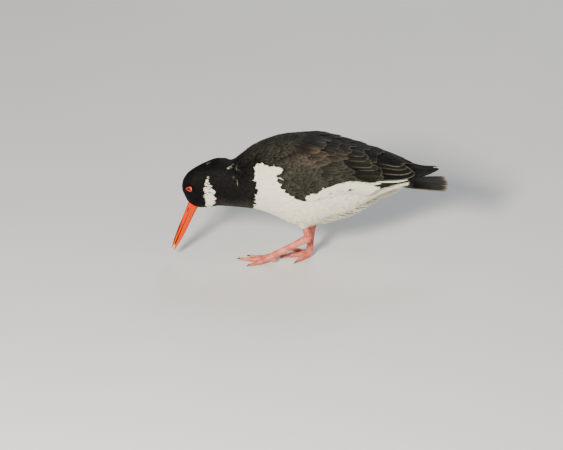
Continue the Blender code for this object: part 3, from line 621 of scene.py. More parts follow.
class Shader:
    """Short ways to add and join a material's nodes."""

    def __init__(self, name):
        self.material = bpy.data.materials.new(name)
        self.material.use_nodes = True
        self.tree = self.material.node_tree
        self.tree.nodes.clear()

    def node(self, kind, inputs=(), **settings):
        made = self.tree.nodes.new(kind)
        for key, value in settings.items():
            setattr(made, key, value)
        for key, value in dict(inputs).items():
            socket = made.inputs[key]
            if isinstance(value, bpy.types.NodeSocket):
                self.tree.links.new(value, socket)
            else:
                socket.default_value = value
        return made

    def attribute(self, name):
        return self.node("ShaderNodeAttribute", attribute_name=name).outputs["Fac"]

    def math(self, operation, first, second=0.0, clamp=False):
        made = self.node("ShaderNodeMath", {0: first, 1: second}, operation=operation, use_clamp=clamp)
        return made.outputs[0]

    def times(self, first, second, clamp=False):
        return self.math("MULTIPLY", first, second, clamp)

    def mix(self, share, first, second):
        """First where share is 0 and second where it is 1."""
        made = self.node("ShaderNodeMix", {0: share}, data_type="RGBA")
        for socket, value in ((made.inputs[6], first), (made.inputs[7], second)):
            if isinstance(value, bpy.types.NodeSocket):
                self.tree.links.new(value, socket)
            else:
                socket.default_value = (*value, 1)
        return made.outputs[2]

    def ramp(self, value, low, high, start=0.0, end=1.0):
        """Value eased from low..high to start..end."""
        inputs = {"Value": value, "From Min": low, "From Max": high, "To Min": start, "To Max": end}
        return self.node("ShaderNodeMapRange", inputs, interpolation_type="SMOOTHSTEP").outputs["Result"]

    def place(self, stretch=(1, 1, 1)):
        """The place on the object in metres, stretched along its axes."""
        place = self.node("ShaderNodeTexCoord").outputs["Object"]
        return self.node("ShaderNodeMapping", {"Vector": place, "Scale": stretch}).outputs["Vector"]

    def noise(self, scale, detail=4.0, stretch=(1, 1, 1), place=None):
        inputs = {"Vector": place or self.place(stretch), "Scale": scale, "Detail": detail}
        return self.node("ShaderNodeTexNoise", inputs).outputs["Fac"]

    def cells(self, scale, place=None, randomness=1.0):
        """Distance to the edges between irregular cells."""
        inputs = {"Vector": place or self.place(), "Scale": scale, "Randomness": randomness}
        return self.node("ShaderNodeTexVoronoi", inputs, feature="DISTANCE_TO_EDGE").outputs["Distance"]

    def bump(self, height, strength, distance):
        inputs = {"Height": height, "Strength": strength, "Distance": distance}
        return self.node("ShaderNodeBump", inputs).outputs["Normal"]

    def surface(self, colour, roughness, normal=None, gloss=0.5, coat=0.0, coat_roughness=0.03, coat_ior=1.5):
        """Ends the material. Gloss is the specular level and coat the weight of a clear coat."""
        inputs = {
            "Base Color": colour, "Roughness": roughness, "Specular IOR Level": gloss, "Coat Weight": coat,
            "Coat Roughness": coat_roughness, "Coat IOR": coat_ior,
        }
        if normal is not None:
            inputs["Normal"] = normal
        shader = self.node("ShaderNodeBsdfPrincipled", inputs)
        self.node("ShaderNodeOutputMaterial", {"Surface": shader.outputs["BSDF"]})
        return self.material


SOOT = (0.0026, 0.0025, 0.0024)
OLIVE = (0.0228, 0.0220, 0.0165)
WORN_BROWN = (0.060, 0.042, 0.030)
FRINGE = (0.20, 0.18, 0.125)
# Pale grey of the painted sheen flecks on the black plumage
SHEEN_FLECK = (0.015, 0.0145, 0.0125)
WARM_WHITE = (0.90, 0.865, 0.70)
SHADED_WHITE = (0.56, 0.53, 0.42)
BARB_PITCH = 0.00055


def feather_material(name):
    """Reads what each feather says of itself: white or dark, how olive, how worn, and its pale fringe. Paints
    shade towards each feather's covered root and flecks of sheen on the black.
    """
    s = Shader(name)
    white = s.attribute("white")
    olive = s.attribute("olive")
    worn = s.attribute("worn")
    tone = s.attribute("tone")
    edge = s.attribute("edge")
    barb = s.attribute("barb")
    along = s.attribute("along")
    mottle = s.noise(300.0, 4.0)
    broad = s.noise(55.0, 3.0)
    on_vane = s.node("ShaderNodeCombineXYZ", {
        "X": s.times(barb, 2200.0),
        "Y": s.times(s.attribute("across"), 110.0),
        "Z": s.times(tone, 9.0),
    }).outputs["Vector"]
    streak = s.noise(1.0, 2.0, place=on_vane)

    share = s.times(olive, s.ramp(mottle, 0.35, 0.65, 0.65, 1.0), clamp=True)
    dark = s.mix(share, SOOT, OLIVE)
    dark = s.mix(s.times(worn, s.ramp(broad, 0.35, 0.65, 0.3, 1.0)), dark, WORN_BROWN)
    # Painted sheen: fine pale flecks on the black feathers, fewer on the olive ones, stand in for glints of
    # feather sheen
    sheen_speckle = s.ramp(s.noise(620.0, 3.0), 0.52, 0.72, 0.0, 0.55)
    sheen_fleck = s.times(sheen_speckle, s.ramp(olive, 0.0, 0.5, 1.0, 0.3))
    dark = s.mix(sheen_fleck, dark, SHEEN_FLECK)
    # Shade scales the dark colour: random tone per feather, streaks along the barbs, painted shade towards
    # each feather's covered root where the next feather lies over it, and paler towards the vane's edges
    shade = s.node("ShaderNodeMath", {0: tone, 1: 0.42, 2: 1.0}, operation="MULTIPLY_ADD").outputs[0]
    shade = s.times(shade, s.ramp(streak, 0.32, 0.68, 0.72, 1.30))
    shade = s.times(shade, s.ramp(along, 0.40, 0.97, 0.45, 1.25))
    shade = s.times(shade, s.ramp(edge, 0.0004, 0.0036, 1.30, 0.78))
    dark = s.node("ShaderNodeVectorMath", {0: dark, 3: shade}, operation="SCALE").outputs[0]
    rim_edge = s.math("DIVIDE", edge, s.math("MAXIMUM", s.attribute("fringe"), 1.0))
    rim = s.times(s.ramp(rim_edge, 0.0005, 0.0014, 1.0, 0.0), s.ramp(along, 0.42, 0.85))
    rim = s.times(rim, s.ramp(mottle, 0.38, 0.55, 0.70, 1.0))
    dark = s.mix(s.times(rim, s.attribute("fringe"), clamp=True), dark, FRINGE)

    # Painted shade: white greys to SHADED_WHITE towards each feather's covered root; streak and broad noise
    # mix in the same grey at random
    pale = s.mix(s.ramp(along, 0.10, 0.70, 0.60, 0.0), WARM_WHITE, SHADED_WHITE)
    pale = s.mix(s.ramp(streak, 0.62, 0.40, 0.0, 0.55), pale, SHADED_WHITE)
    pale = s.mix(s.ramp(broad, 0.45, 0.70, 0.0, 0.18), pale, SHADED_WHITE)
    colour = s.mix(white, dark, pale)

    lines = s.math("SINE", s.times(barb, 2 * math.pi / BARB_PITCH))
    height = s.math("ADD", s.times(lines, 0.25), s.times(streak, 1.6))
    normal = s.bump(height, 0.55, 0.00028)
    roughness = s.ramp(white, 0.0, 1.0, 0.50, 0.80)
    return s.surface(colour, roughness, normal, gloss=0.08)


HORN_ORANGE = (0.60, 0.034, 0.0)
HORN_TIP = (0.62, 0.125, 0.0)
HORN_GAPE = (0.58, 0.052, 0.0)
HORN_DUSK = (0.050, 0.007, 0.003)
HORN_RED = (0.50, 0.016, 0.0)
NOSTRIL_SHADOW = (0.030, 0.004, 0.002)
# Near-black colours of the painted shadow between the jaws
GAPE_SHADOW = ((0.010, 0.002, 0.001), (0.024, 0.005, 0.003))
IRIS_RED = ((0.34, 0.003, 0.002), (0.50, 0.012, 0.003))
IRIS_RIM = (0.10, 0.002, 0.002)
PUPIL_BLACK = (0.0012, 0.0012, 0.0012)
EYE_RING_RED = ((0.40, 0.016, 0.001), (0.56, 0.045, 0.002))
EYE_RING_PALE = (0.46, 0.16, 0.13)
LEG_PINK = ((0.56, 0.115, 0.078), (0.76, 0.280, 0.195))
LEG_GROOVES = (0.30, 0.036, 0.026)
LEG_PALE = (0.84, 0.46, 0.33)
CLAW_BROWN = ((0.020, 0.014, 0.012), (0.075, 0.045, 0.035))
FLOOR_GREY = ((0.66, 0.655, 0.64), (0.70, 0.695, 0.68))


def bill_material():
    """Orange-red horn, yellower along the gape and at the tips, with a dusky ridge and painted shade in the
    nostril.
    """
    s = Shader("bill_horn")
    share = s.attribute("share")
    ridge = s.attribute("ridge")
    long_noise = s.noise(160.0, 4.0, (1.0, 1.0, 0.22))
    fine = s.noise(900.0, 3.0, (1.0, 1.0, 0.3))
    colour = s.mix(s.ramp(share, 0.60, 0.95), HORN_ORANGE, HORN_TIP)
    gape = s.times(s.ramp(ridge, 0.34, 0.08), s.ramp(share, 0.05, 0.35, 0.2, 0.8))
    colour = s.mix(gape, colour, HORN_GAPE)
    dusk = s.times(s.ramp(ridge, 0.30, 0.66), s.ramp(share, 0.26, 0.50))
    dusk = s.times(dusk, s.ramp(share, 0.94, 0.80))
    dusk = s.times(dusk, s.ramp(long_noise, 0.30, 0.60, 0.55, 1.0))
    colour = s.mix(dusk, colour, HORN_DUSK)
    colour = s.mix(s.ramp(long_noise, 0.52, 0.72, 0.0, 0.5), colour, HORN_RED)
    # Painted shade in the nostril's hollow
    colour = s.mix(s.attribute("hole"), colour, NOSTRIL_SHADOW)
    normal = s.bump(s.math("ADD", long_noise, s.times(fine, 0.4)), 0.30, 0.0003)
    return s.surface(colour, s.ramp(fine, 0.3, 0.7, 0.30, 0.46), normal, gloss=0.06)


# Painted shadow in the gape: near black, where a tongue in light would be pinkish
def gape_shadow_material():
    s = Shader("shadow_in_gape")
    colour = s.mix(s.noise(500.0, 3.0), *GAPE_SHADOW)
    return s.surface(colour, 0.5, gloss=0.2)


def eye_material():
    """Red iris with fine rays and a darker rim round a small black pupil."""
    s = Shader("eye_red")
    radius = s.attribute("radius")
    iris = s.mix(s.ramp(s.attribute("rays"), 0.2, 0.9), *IRIS_RED)
    iris = s.mix(s.ramp(radius, 0.0022, 0.0031), iris, IRIS_RIM)
    colour = s.mix(s.ramp(radius, 0.00150, 0.00170), PUPIL_BLACK, iris)
    return s.surface(colour, 0.22, gloss=0.15, coat=0.35, coat_ior=1.3)


def eye_ring_material():
    """Orange-red fleshy ring, paler along its outer rear edge."""
    s = Shader("eye_ring_skin")
    bumps = s.cells(2400.0)
    colour = s.mix(s.ramp(bumps, 0.0, 0.35), *EYE_RING_RED)
    colour = s.mix(s.attribute("rear"), colour, EYE_RING_PALE)
    normal = s.bump(bumps, 0.4, 0.0002)
    return s.surface(colour, 0.42, normal, gloss=0.3, coat=0.1, coat_roughness=0.25)


def leg_material():
    s = Shader("leg_scales")
    place = s.node("ShaderNodeCombineXYZ", {
        "X": s.math("DIVIDE", s.attribute("length"), SCALE_SIZE),
        "Y": s.math("DIVIDE", s.attribute("round"), SCALE_SIZE),
        "Z": s.times(s.attribute("part"), 7.3),
    }).outputs["Vector"]
    scale = s.ramp(s.cells(1.0, place, 0.55), 0.02, 0.30)
    patch = s.noise(120.0, 4.0)
    grain = s.noise(1500.0, 3.0)
    colour = s.mix(s.ramp(patch, 0.35, 0.70), *LEG_PINK)
    colour = s.mix(s.ramp(scale, 0.0, 0.8, 0.7, 0.0), colour, LEG_GROOVES)
    colour = s.mix(s.ramp(s.noise(380.0, 2.0), 0.56, 0.70, 0.0, 0.42), colour, LEG_PALE)
    height = s.math("ADD", s.times(scale, 0.8), s.times(grain, 0.3))
    normal = s.bump(height, 0.4, 0.0003)
    roughness = s.ramp(grain, 0.3, 0.7, 0.36, 0.55)
    return s.surface(colour, roughness, normal, gloss=0.35, coat=0.08, coat_roughness=0.3)


def claw_material():
    s = Shader("claw_horn")
    streaks = s.noise(700.0, 3.0, (1.0, 3.0, 3.0))
    colour = s.mix(s.ramp(streaks, 0.3, 0.7), *CLAW_BROWN)
    return s.surface(colour, 0.35, s.bump(streaks, 0.3, 0.0002), coat=0.2, coat_roughness=0.2)


def floor_material():
    s = Shader("pale_floor")
    colour = s.mix(s.noise(6.0, 2.0), *FLOOR_GREY)
    return s.surface(colour, 0.75)


# Feathers


class Template:
    """The points and triangles of one feather: rows along it, columns across its upper face."""

    def __init__(self, rows, columns):
        self.rows = rows
        self.columns = columns
        self.ring = 2 * (columns - 1)
        self.size = rows * self.ring + columns - 1
        self.upper = np.arange(columns)
        self.under = np.array([0] + [self.ring - j for j in range(1, columns - 1)] + [columns - 1])
        faces = []
        for r in range(rows - 1):
            for j in range(self.ring):
                a, b = r * self.ring + j, r * self.ring + (j + 1) % self.ring
                c, d = b + self.ring, a + self.ring
                faces.append((a, d, c))
                faces.append((a, c, b))
        last = (rows - 1) * self.ring
        for j in range(columns - 1):
            tip = rows * self.ring + j
            top_a, top_b = self.upper[j], self.upper[j + 1]
            low_a, low_b = self.under[j], self.under[j + 1]
            faces.append((last + top_a, tip, last + top_b))
            faces.append((last + low_b, tip, last + low_a))
            if low_a != top_a:
                faces.append((last + low_a, tip, last + top_a))
                faces.append((top_a, top_b, low_b))
            if low_b != top_b:
                faces.append((last + top_b, tip, last + low_b))
            if low_a != top_a and low_b != top_b:
                faces.append((top_a, low_b, low_a))
            elif low_a == top_a:
                faces.append((top_a, top_b, low_b))
        self.faces = np.array(faces)


# Small feathers: shares of the length where rows lie, widths there, rows and columns, length of the
# barb tips as a share of the length, how much they differ, and thickness
HEAD_KIND = ((0.0, 0.40, 0.76, 1.0), (0.6, 1.0, 0.76, 0.3), Template(3, 4), 0.30, 0.5, 0.00012)
NECK_KIND = ((0.0, 0.34, 0.62, 0.84, 1.0), (0.5, 0.92, 1.0, 0.8, 0.4), Template(4, 6), 0.22, 0.6, 0.00016)
BACK_KIND = ((0.0, 0.34, 0.66, 0.88, 1.0), (0.5, 0.92, 1.0, 0.8, 0.4), Template(4, 7), 0.14, 0.45, 0.00020)
BELLY_KIND = ((0.0, 0.27, 0.52, 0.76, 1.0), (0.5, 0.90, 1.0, 0.84, 0.4), Template(4, 8), 0.30, 0.65, 0.00018)
WISP_KIND = ((0.0, 0.38, 0.72, 1.0), (0.7, 1.0, 0.62, 0.3), Template(3, 3), 0.36, 0.5, 0.00014)


# A coat's map has a margin and a small patch for each feather
MAP_MARGIN = 0.004
MAP_PATCH = 0.003
BARB_SLANT = 1.5
FEATHER_VALUES = ("white", "olive", "worn", "tone", "edge", "fringe", "barb", "along", "across")


class Coat:
    """Gathers many feathers and makes one object of them."""

    def __init__(self, name):
        self.name = name
        self.points = []
        self.triangles = []
        self.roots = []
        self.local = []
        self.values = {key: [] for key in FEATHER_VALUES}
        self.count = 0

    def add(self, template, points, roots, local, values):
        """Points is an array of feather, point and place, and roots each feather's place on the map."""
        number = len(points)
        starts = self.count + template.size * np.arange(number)
        self.triangles.append((template.faces[None] + starts[:, None, None]).reshape(-1, 3))
        self.points.append(points.reshape(-1, 3))
        self.roots.append(np.repeat(roots, template.size, axis=0))
        self.local.append(local.reshape(-1, 2))
        for key, stored in self.values.items():
            stored.append(np.broadcast_to(values[key], (number, template.size)).reshape(-1))
        self.count += number * template.size

    def build(self, material, replaced=()):
        points = np.concatenate(self.points)
        triangles = np.concatenate(self.triangles)
        mesh = mesh_from_arrays(self.name, points, triangles)
        set_attributes(mesh, **{key: np.concatenate(stored) for key, stored in self.values.items()})
        roots = np.concatenate(self.roots)
        low, high = roots.min(0), roots.max(0)
        place = MAP_MARGIN + (1 - 2 * MAP_MARGIN) * (roots - low) / np.maximum(high - low, 1e-9)
        set_map(mesh, place + MAP_PATCH * np.concatenate(self.local))
        smooth_shaded(mesh, 50)
        return make_object(self.name, mesh, material, replaced)


def feathers(coat, template, spine, normal, out, length, width, profile, rng, roots, values,
             tooth, fray, thickness, camber=0.05, ridge=0.0):
    """Adds feathers along given centre lines.

    Spine and normal hold feather, row and place, with one more row than the template for the tips.
    Out is the height above the surface for each feather and row, and profile the width of each row as
    a share of the full width. Tooth is the length of the barb tips as a share of the feather's length
    and fray how much they differ.
    """
    rows, columns = template.rows, template.columns
    number = len(spine)
    s = np.linspace(-1, 1, columns)
    ahead = unit(np.gradient(spine, axis=1))
    across = unit(np.cross(normal, ahead))
    share = s / 2
    thick = thickness * (1 - s ** 2) / 2
    rise = -camber * s ** 2
    widths = width[:, None] * np.array(profile)[None]
    steps = np.linalg.norm(np.diff(spine, axis=1), axis=2)
    travelled = np.concatenate([np.zeros((number, 1)), np.cumsum(steps, axis=1)], axis=1)

    def at(row, positions, offsets, lift):
        """Points across a row: positions are shares of the width and lift is a height for each."""
        sideways = positions[None, :, None] * widths[:, row, None, None]
        height = out[:, row, None] + offsets[None] * widths[:, row, None] + lift[None]
        raised = normal[:, row, None] * height[..., None]
        return spine[:, row, None] + across[:, row, None] * sideways + raised

    def slanted(row, positions):
        """Length along the shaft at which the barbs of a row begin, as they slant to the tip."""
        return travelled[:, row, None] - BARB_SLANT * np.abs(positions)[None] * widths[:, row, None]

    points = np.zeros((number, template.size, 3))
    local = np.zeros((number, template.size, 2))
    edge, barb, beside, along = np.zeros((4, number, template.size))
    inner = np.arange(1, columns - 1)[::-1]
    order = np.concatenate([np.arange(columns), inner])
    side = np.concatenate([np.ones(columns), -np.ones(columns - 2)])
    ridge_height = ridge * np.maximum(0, 1 - np.abs(s) / 0.3)
    for row in range(rows):
        start = row * template.ring
        span = slice(start, start + template.ring)
        lift = side * thick[order] + np.where(side > 0, ridge_height[order], 0)
        points[:, span] = at(row, share[order], rise[order], lift)
        t = travelled[:, row] / travelled[:, -1]
        half = widths[:, row, None] / 2 * (1 - np.abs(s[order]))[None]
        edge[:, span] = np.minimum(half, (length * (1 - t))[:, None] + 0.0004)
        barb[:, span] = slanted(row, share[order])
        along[:, span] = t[:, None]
        beside[:, span] = share[order][None] * widths[:, row, None]
        local[:, span, 0] = s[order] / 2
        local[:, span, 1] = t[:, None] - 0.5

    middle = (share[:-1] + share[1:]) / 2
    tips = slice(rows * template.ring, template.size)
    reach = tooth * length[:, None] * (1 - 0.45 * ((s[:-1] + s[1:]) / 2) ** 2)[None]
    reach = reach * (1 + fray * rng.uniform(-1, 1, (number, columns - 1)))
    base = at(rows - 1, middle * 0.94, (rise[:-1] + rise[1:]) / 2, np.zeros(columns - 1))
    points[:, tips] = base + ahead[:, rows - 1, None] * reach[..., None]
    along[:, tips] = 1.0
    barb[:, tips] = slanted(rows - 1, middle)
    beside[:, tips] = middle[None] * widths[:, rows - 1, None]
    local[:, tips, 0] = middle
    local[:, tips, 1] = 0.5
    coat.add(template, points, roots, local, {
        **values, "edge": edge, "barb": barb, "along": along, "across": beside,
    })


# Body


def stations(spacing):
    """X values along the body, spaced so that the surface between two of them is one spacing wide."""
    x = BODY_ENDS[0]
    found = [x]
    while x < BODY_ENDS[1]:
        step = spacing(x)
        for _ in range(12):
            ahead = min(x + step, BODY_ENDS[1])
            rises = [abs(float(curve(ahead) - curve(x))) for curve in (back_height, belly_height, half_width)]
            span = math.hypot(step, max(rises))
            if span <= spacing(x) * 1.02:
                break
            step *= spacing(x) / span
        x += step
        found.append(min(x, BODY_ENDS[1]))
    return np.array(found)


def body_surface(xs, count, depth=0.0):
    """Points and triangles of the closed surface of the body, sunk by a share of the coat's depth."""
    degrees = 360 * np.arange(count) / count
    sink = depth * coat_depth(xs)[:, None]
    rings = body_point(xs[:, None], degrees[None], -sink)
    start = (FOREHEAD[0] + float(sink[0, 0]), 0, FOREHEAD[1])
    end = (xs[-1] + RUMP_LENGTH, 0, float(body_heights(xs[-1])[0]))
    points, triangles = tube(rings, start, end)
    return points, turned_out(points, triangles)


def body_level(points):
    """Below 1 inside the body's surface and above 1 outside it."""
    x = points[..., 0]
    middle, height = body_heights(x)
    across = np.abs(points[..., 1] / half_width(x))
    up = np.abs((points[..., 2] - middle) / height)
    return across ** SECTION_POWER + up ** SECTION_POWER


def thigh(side, depth=0.0):
    """The feathered thigh as a limb: its shape, centre line and radii."""
    joints = LEGS[side]
    end = between(np.array(joints["hip"]), np.array(joints["shin"]), joints["feathered"])
    profile = [(share, radius - depth) for share, radius in THIGH_PROFILE]
    return limb((joints["hip"], end), profile, sides=32, spacing=0.001)


def surface_tree(points, triangles):
    return BVHTree.FromPolygons([Vector(p) for p in points], [tuple(int(i) for i in t) for t in triangles])


def lie_of(points):
    """The way that the feathers point: away from the bill on the face, and to the tail behind it."""
    away = unit(points - np.array(BILL_ROOT))
    x = points[:, 0]
    side = np.clip(np.abs(points[:, 1]) / half_width(x) * 1.5, 0, 1)
    droop = side * (points[:, 2] > body_heights(x)[0]) * ease(x, -0.105, -0.060) * (1 - ease(x, 0.030, 0.080))
    back = np.zeros_like(points)
    back[:, 0] = 1.0
    back[:, 2] = -0.06 - MANTLE_DROOP * droop
    face = 1 - ease(x, -0.150, -0.118)
    return unit(away * face[:, None] + unit(back) * (1 - face)[:, None])


def combed(tree, starts, lies, lengths, shares):
    """Centre lines that follow the surface from each start along its lie, with the surface's normals."""
    spine = np.zeros((len(starts), len(shares), 3))
    normal = np.zeros_like(spine)
    for i, (start, lie, length) in enumerate(zip(starts, lies, lengths)):
        place, outward, _, _ = tree.find_nearest(Vector(start))
        direction = Vector(lie)
        before = 0.0
        for row, share in enumerate(shares):
            direction = (direction - outward * direction.dot(outward)).normalized()
            if row:
                place, outward, _, _ = tree.find_nearest(place + direction * ((share - before) * length))
            before = share
            spine[i, row] = place
            normal[i, row] = outward
    return spine, normal


def noise_of(points, scale, seed):
    """A smooth value of about -1 to 1 that changes from place to place."""
    rng = np.random.default_rng(seed)
    total = np.zeros(len(points))
    for _ in range(4):
        wave = rng.normal(0, 1, 3)
        wave *= scale / np.linalg.norm(wave) * rng.uniform(0.7, 1.6)
        total += np.sin(points @ wave + rng.uniform(0, 2 * math.pi))
    return total / 2


def plumage(points, rng=None):
    """White share and olive share of the coat at each point. A random source scatters the borders."""
    x = points[:, 0]
    degrees = body_degrees(points)
    flank = np.where(degrees > 90, np.where(degrees > 270, 540 - degrees, degrees), 180 - degrees)
    number = len(points)
    scatter = rng.normal(0, 1, number) if rng else np.zeros(number)
    stray = noise_of(points, 900.0, 3) * BORDER_STRAY + BORDER_STRAY * scatter
    behind = x + stray > breast_line(np.clip(flank, 90, 270))
    below = 180 - flank < shoulder_line(x) + 0.9 * noise_of(points, 700.0, 4) + 0.4 * scatter
    white = (behind & below | (x > RUMP_X) & (flank > 90)).astype(float)
    collar = (x + stray > collar_front(flank)) & (x + 1.2 * stray < collar_rear(flank)) & (flank > COLLAR_TOP)
    if rng:
        chance = rng.random(number)
        collar &= chance > COLLAR_GAPS * (1 - ease(flank, 145, 200)) + 0.04
    white = np.where(collar, COLLAR_WHITE, white)
    olive = ease(x, *OLIVE_BEGINS) * (0.75 + 0.20 * noise_of(points, 120.0, 5))
    neck_side = ease(flank, *NECK_SIDE_TOP) * (1 - ease(flank, *NECK_SIDE_FOOT))
    olive *= 1 - 0.80 * neck_side * (1 - ease(x, *NECK_SIDE_REAR))
    under_neck = ease(x, *THROAT_BEGINS) * ease(flank, *THROAT_SIDE) * 0.9
    return white, np.clip(np.maximum(olive, under_neck), 0, 1)


def surface_frame(x, degrees):
    """Place and turn of a piece on the coat: its Z axis points out, its X axis to the bill."""
    centre = Vector(body_point(x, degrees))
    along = Vector(body_point(x - 0.0005, degrees)) - centre
    around = Vector(body_point(x, degrees + 1)) - centre
    outward = along.cross(around).normalized()
    if outward.y * centre.y < 0:
        outward = -outward
    along = (along - outward * along.dot(outward)).normalized()
    turn = Matrix((along, outward.cross(along), outward)).transposed().to_4x4()
    return Matrix.Translation(centre) @ turn


def eye_frame(side):
    return surface_frame(EYE_X, 180 - EYE_ANGLE if side == "left" else EYE_ANGLE)


def eye_room(points):
    """Distance of points from the nearer eye's centre as a share of the room kept round it."""
    nearest = np.full(len(points), 99.0)
    for side in ("left", "right"):
        local = moved(points, eye_frame(side).inverted())
        share = np.hypot(local[:, 0] / EYE_ROOM[0], local[:, 1] / EYE_ROOM[1])
        nearest = np.minimum(nearest, np.where(np.abs(local[:, 2]) < 0.006, share, 99.0))
    return nearest


def bill_axes():
    base = np.array((BILL_BASE[0], 0, BILL_BASE[1]))
    along = np.array((BILL_TIP[0], 0, BILL_TIP[1])) - base
    length = np.linalg.norm(along)
    along = along / length
    return base, along, np.array((along[2], 0, -along[0])), length


def inside_bill(points):
    """True where a point of the face lies in the bill's root."""
    base, along, up, length = bill_axes()
    from_base = points - base
    share = from_base @ along / length
    height = from_base @ up
    reach = np.where(height > 0, culmen(share), -gonys(share))
    return (share > -0.30) & ((height / reach) ** 2 + (points[:, 1] / bill_half_width(share)) ** 2 < 0.92)


def hidden_by_wing(points):
    """True where the folded wing covers the body well inside the wing's edges."""
    degrees = body_degrees(points)
    flank = np.where(degrees > 90, 180 - degrees, degrees)
    x = points[:, 0]
    low = wing_lower_edge(x) + between(3, 9, ease(x, -0.010, 0.010))
    high = np.where(x > 0.07, 200, wing_upper_edge(x) - 9)
    return (x > -0.034) & (x < 0.118) & (flank > low) & (flank < high) & ~in_hook(x, flank)


def body_roots(rng):
    """Staggered rows of feather roots over the whole body."""
    rows = stations(lambda x: ROW_SHARE * float(feather_length(x)))
    found = []
    for number, x in enumerate(rows):
        section = body_point(np.full(73, x), np.linspace(0, 360, 73))
        around = np.linalg.norm(np.diff(section, axis=0), axis=1).sum()
        count = max(10, int(around / (COLUMN_SHARE * float(feather_width(x)))))
        degrees = (np.arange(count) + 0.5 * (number % 2) + rng.uniform(-0.28, 0.28, count)) * 360 / count
        spread = 0.10 * float(feather_length(x)) * rng.uniform(-1, 1, count)
        found.append(body_point(np.clip(x + spread, *BODY_ENDS), degrees))
    return np.concatenate(found)


def tilted(lies, rng, spread):
    """Directions turned a little at random."""
    return unit(lies + rng.normal(0, spread, lies.shape))


def map_place(points):
    """A root's place on the body unrolled: X along it and degrees round it."""
    return np.stack([points[:, 0], body_degrees(points)], axis=1)


def add_small_feathers(coat, kind, tree, roots, lies, lengths, widths, rng, lift, white=None):
    """Combs one kind of small feather over a surface. Lift is the height of each tip, and white its
    share of white where that doesn't follow from its place."""
    rows, profile, template, tooth, fray, thickness = kind
    spine, normal = combed(tree, roots, lies, lengths, rows)
    share = np.array(rows) ** 0.8
    depth = coat_depth(roots[:, 0])
    out = -depth[:, None] * (1 - share) + lift[:, None] * share
    olive = np.zeros(len(roots))
    if white is None:
        white, olive = plumage(spine[:, -2], rng)
    white = np.broadcast_to(white, len(roots))
    tone = rng.normal(0, 0.45, len(roots))
    back = (body_degrees(roots) > 20) & (body_degrees(roots) < 160)
    fringe = np.where(back, ease(roots[:, 0], -0.085, -0.040) * rng.uniform(0.0, 0.22, len(roots)), 0.0)
    values = {
        "white": white[:, None], "olive": olive[:, None], "worn": 0.0, "tone": tone[:, None],
        "fringe": (fringe * (1 - white))[:, None],
    }
    feathers(
        coat, template, spine, normal, out, lengths, widths, profile, rng, map_place(roots), values,
        tooth, fray, thickness,
    )


def body_coat(tree, material):
    rng = np.random.default_rng(SEED)
    roots = body_roots(rng)
    keep = ~inside_bill(roots) & (eye_room(roots) > 1.0) & ~hidden_by_wing(roots)
    roots = roots[keep]
    number = len(roots)
    x = roots[:, 0]
    degrees = body_degrees(roots)
    length = feather_length(x) * rng.uniform(0.85, 1.18, number)
    width = feather_width(x) * rng.uniform(0.88, 1.12, number)
    eye_gap = (eye_room(roots) - 1.0) * 0.0045
    length = np.where(eye_gap < 0.004, np.minimum(length, 0.0013 + eye_gap), length)
    lies = tilted(lie_of(roots), rng, 0.09)
    lift = 0.0001 + 0.012 * length * rng.uniform(0.1, 1.8, number)
    white, _ = plumage(roots + lies * (0.6 * length)[:, None])
    above = (degrees > 90 - MANTLE_DEGREES) & (degrees < 90 + MANTLE_DEGREES)
    behind = x >= CROWN_END
    for name, chosen, kind in (
        ("coat_face", x < FACE_END, HEAD_KIND),
        ("coat_crown", (x >= FACE_END) & ~behind, HEAD_KIND),
        ("coat_neck", behind & (white < 0.5) & ~(above & (x > MANTLE_START)), NECK_KIND),
        ("coat_mantle", (x >= MANTLE_START) & (white < 0.5) & above, BACK_KIND),
        ("coat_breast", behind & (x < BELLY_START) & (white > 0.5), BELLY_KIND),
        ("coat_belly", (x >= BELLY_START) & (white > 0.5), BELLY_KIND),
    ):
        coat = Coat(name)
        add_small_feathers(
            coat, kind, tree, roots[chosen], lies[chosen], length[chosen], width[chosen], rng, lift[chosen],
        )
        coat.build(material)


def neck_glint_wisps(tree, coat, rng):
    """Thin pale strands along short lines on the dark neck and crown: partly exposed white feather bases,
    partly painted glints of sheen.
    """
    for start, end, count, white in NECK_GLINT_WISPS:
        share = rng.random(count)[:, None]
        spots = between(np.array(start), np.array(end), share) + rng.normal(0, 1, (count, 2)) * (0.0005, 1.2)
        roots = body_point(spots[:, 0] - 0.002, spots[:, 1])
        ahead = body_point(*np.array(end)) - body_point(*np.array(start))
        lies = tilted(np.tile(unit(ahead) + np.array((0.25, 0, 0)), (count, 1)), rng, 0.15)
        lengths = rng.uniform(0.0035, 0.0065, count)
        widths = rng.uniform(0.0006, 0.0011, count)
        lift = np.full(count, 0.0006)
        whites = white * rng.uniform(0.6, 1.1, count)
        add_small_feathers(coat, WISP_KIND, tree, roots, lies, lengths, widths, rng, lift, whites)


def thigh_coat(tree, coat, rng):
    """White feathers down both thighs, with loose strands over the top of the bare leg."""
    for side in ("left", "right"):
        _, centre, radius = thigh(side)
        ahead = unit(np.gradient(centre, axis=0))
        steps = rng.integers(0, len(centre) - 1, 560)
        turn = rng.uniform(0, 2 * math.pi, len(steps))
        sideways = unit(np.cross(ahead[steps], SIDEWAYS))
        front = np.cross(ahead[steps], sideways)
        out = sideways * np.cos(turn)[:, None] + front * np.sin(turn)[:, None]
        roots = centre[steps] + out * radius[steps][:, None]
        outside = body_level(roots) > 0.80
        roots, steps = roots[outside], steps[outside]
        lengths = rng.uniform(0.0055, 0.0085, len(roots))
        widths = rng.uniform(0.0010, 0.0022, len(roots))
        lies = tilted(ahead[steps], rng, 0.10)
        lift = rng.uniform(0.0001, 0.0009, len(roots))
        add_small_feathers(coat, WISP_KIND, tree, roots, lies, lengths, widths, rng, lift, 1.0)


